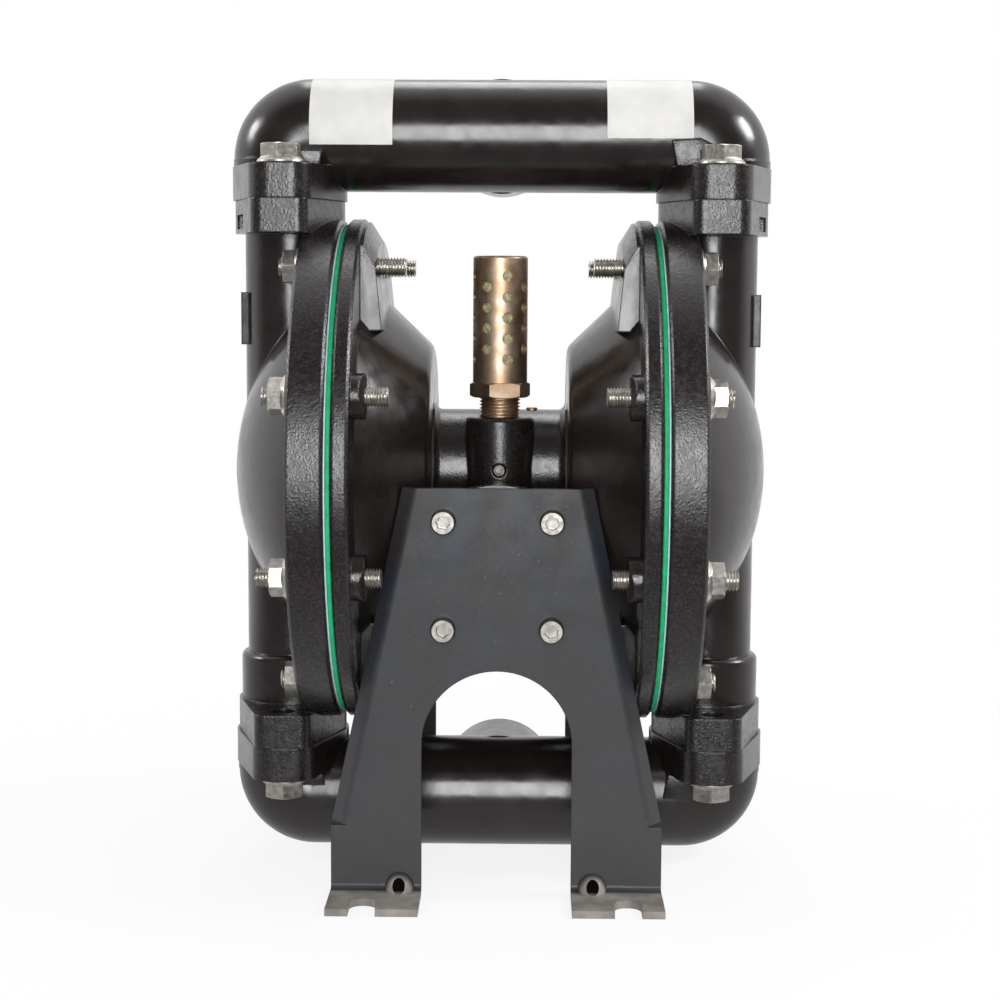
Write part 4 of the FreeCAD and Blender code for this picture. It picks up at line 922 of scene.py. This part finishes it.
muffler_base()


# Blank labels on the upper tube

def label(name, x_low, x_high, top_turn, front_turn):
    """A blank label bent round the tube, its turns in degrees from the tube's top towards the front."""
    deselect()
    bpy.ops.mesh.primitive_cylinder_add(vertices=144, radius=TUBE_R + 0.03 * MM, depth=x_high - x_low,
                                        end_fill_type="NOTHING", location=((x_low + x_high) / 2, 0, TUBE_Z),
                                        rotation=(0, math.pi / 2, 0))
    piece = bpy.context.object
    piece.name = name
    bpy.ops.object.transform_apply(location=True, rotation=True, scale=True)
    bpy.ops.object.mode_set(mode="EDIT")
    bpy.ops.mesh.select_mode(type="FACE")
    bpy.ops.mesh.select_all(action="DESELECT")
    bpy.ops.object.mode_set(mode="OBJECT")
    for face in piece.data.polygons:
        turn = math.degrees(math.atan2(-face.center.y, face.center.z - TUBE_Z))
        face.select = not top_turn < turn < front_turn
    bpy.ops.object.mode_set(mode="EDIT")
    bpy.ops.mesh.delete(type="FACE")
    bpy.ops.mesh.select_all(action="SELECT")
    bpy.ops.mesh.normals_make_consistent(inside=False)
    bpy.ops.object.mode_set(mode="OBJECT")
    wall = piece.modifiers.new("film", "SOLIDIFY")
    wall.thickness = 0.15 * MM
    wall.offset = 1.0
    apply_all(piece)
    bpy.ops.object.shade_smooth_by_angle(angle=math.radians(40))
    dressed(piece, LABEL)
    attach(piece, "pump_body")


LABEL = label_paper()
label("left_blank_label", -79.2 * MM, -44.9 * MM, 7, 103)
label("right_blank_label", 43.7 * MM, 79.2 * MM, 7, 94)


# Studio

def lamp(name, place, width, height, power):
    data = bpy.data.lights.new(name, "AREA")
    data.shape = "RECTANGLE"
    data.size = width
    data.size_y = height
    data.energy = power
    made = bpy.data.objects.new(name, data)
    bpy.context.scene.collection.objects.link(made)
    made.location = place
    aim = Vector((0, 0, 0.17)) - Vector(place)
    made.rotation_euler = aim.to_track_quat("-Z", "Y").to_euler()


def studio_world():
    """White to the camera and through glass; in gloss white at the back and dimmer in front."""
    world = bpy.data.worlds.new("studio")
    bpy.context.scene.world = world
    world.use_nodes = True
    world.node_tree.nodes.clear()
    path = add(world, "ShaderNodeLightPath")
    way = add(world, "ShaderNodeSeparateXYZ", {0: add(world, "ShaderNodeTexCoord").outputs["Generated"]})
    room = add(world, "ShaderNodeMapRange", {0: way.outputs[1], 1: -0.35, 2: 0.15, 3: 0.15, 4: 1.0})
    gloss = add(world, "ShaderNodeMix", {0: path.outputs["Is Glossy Ray"], 2: 0.35, 3: room.outputs[0]})
    seen = add(world, "ShaderNodeMath", {0: path.outputs["Is Camera Ray"], 1: path.outputs["Is Transmission Ray"]},
               operation="MAXIMUM")
    level = add(world, "ShaderNodeMix", {0: seen.outputs[0], 2: gloss.outputs[0], 3: 1.0})
    background = add(world, "ShaderNodeBackground", {"Color": (1, 1, 1, 1), "Strength": level.outputs[0]})
    add(world, "ShaderNodeOutputWorld", {0: background.outputs[0]})


def floor_material():
    """Pale paper that keeps a soft shadow near the pump and runs into white further out; in gloss
    it is dim in front, where the room is dark, and white behind."""
    material = new_material("pale_paper_floor")
    where = add(material, "ShaderNodeTexCoord").outputs["Object"]
    far = add(material, "ShaderNodeVectorMath", {0: where}, operation="LENGTH")
    fade = add(material, "ShaderNodeMapRange", {0: far.outputs["Value"], 1: 0.1, 2: 0.45, 3: 0.85, 4: 1.0})
    path = add(material, "ShaderNodeLightPath")
    near = add(material, "ShaderNodeMath", {0: fade.outputs[0], 1: path.outputs["Is Camera Ray"]},
               operation="MULTIPLY")
    mirrored = add(material, "ShaderNodeMath", {0: path.outputs["Is Glossy Ray"],
                                                1: path.outputs["Is Transmission Ray"]}, operation="MAXIMUM")
    share = add(material, "ShaderNodeMath", {0: near.outputs[0], 1: mirrored.outputs[0]}, operation="MAXIMUM")
    depth = add(material, "ShaderNodeSeparateXYZ", {0: where}).outputs[1]
    dim = add(material, "ShaderNodeMapRange", {0: depth, 1: -0.3, 2: 0.3, 3: 0.2, 4: 1.0})
    level = add(material, "ShaderNodeMix", {0: path.outputs["Is Glossy Ray"], 2: 1.0, 3: dim.outputs[0]})
    paper = add(material, "ShaderNodeBsdfPrincipled", {"Base Color": (0.95, 0.95, 0.95, 1), "Roughness": 0.9,
                                                       "Specular IOR Level": 0.0})
    glow = add(material, "ShaderNodeEmission", {"Color": (1, 1, 1, 1), "Strength": level.outputs[0]})
    both = add(material, "ShaderNodeMixShader", {0: share.outputs[0], 1: paper.outputs[0], 2: glow.outputs[0]})
    add(material, "ShaderNodeOutputMaterial", {"Surface": both.outputs[0]})
    return material


def studio():
    studio_world()
    lamp("front_softbox", (0.02, -1.3, 0.38), 0.45, 0.65, 10.0)
    lamp("left_high_softbox", (-1.2, 0.05, 0.85), 0.35, 0.35, 5.0)
    lamp("right_high_softbox", (1.15, -0.1, 0.95), 0.4, 0.4, 11.0)
    lamp("top_softbox", (0.0, 0.7, 1.3), 0.6, 0.6, 4.0)
    deselect()
    bpy.ops.mesh.primitive_plane_add(size=8, location=(0, 0, -0.2 * MM))
    floor = bpy.context.object
    floor.name = "floor"
    floor.data.materials.append(floor_material())
    bpy.context.scene.view_settings.view_transform = "Standard"


studio()
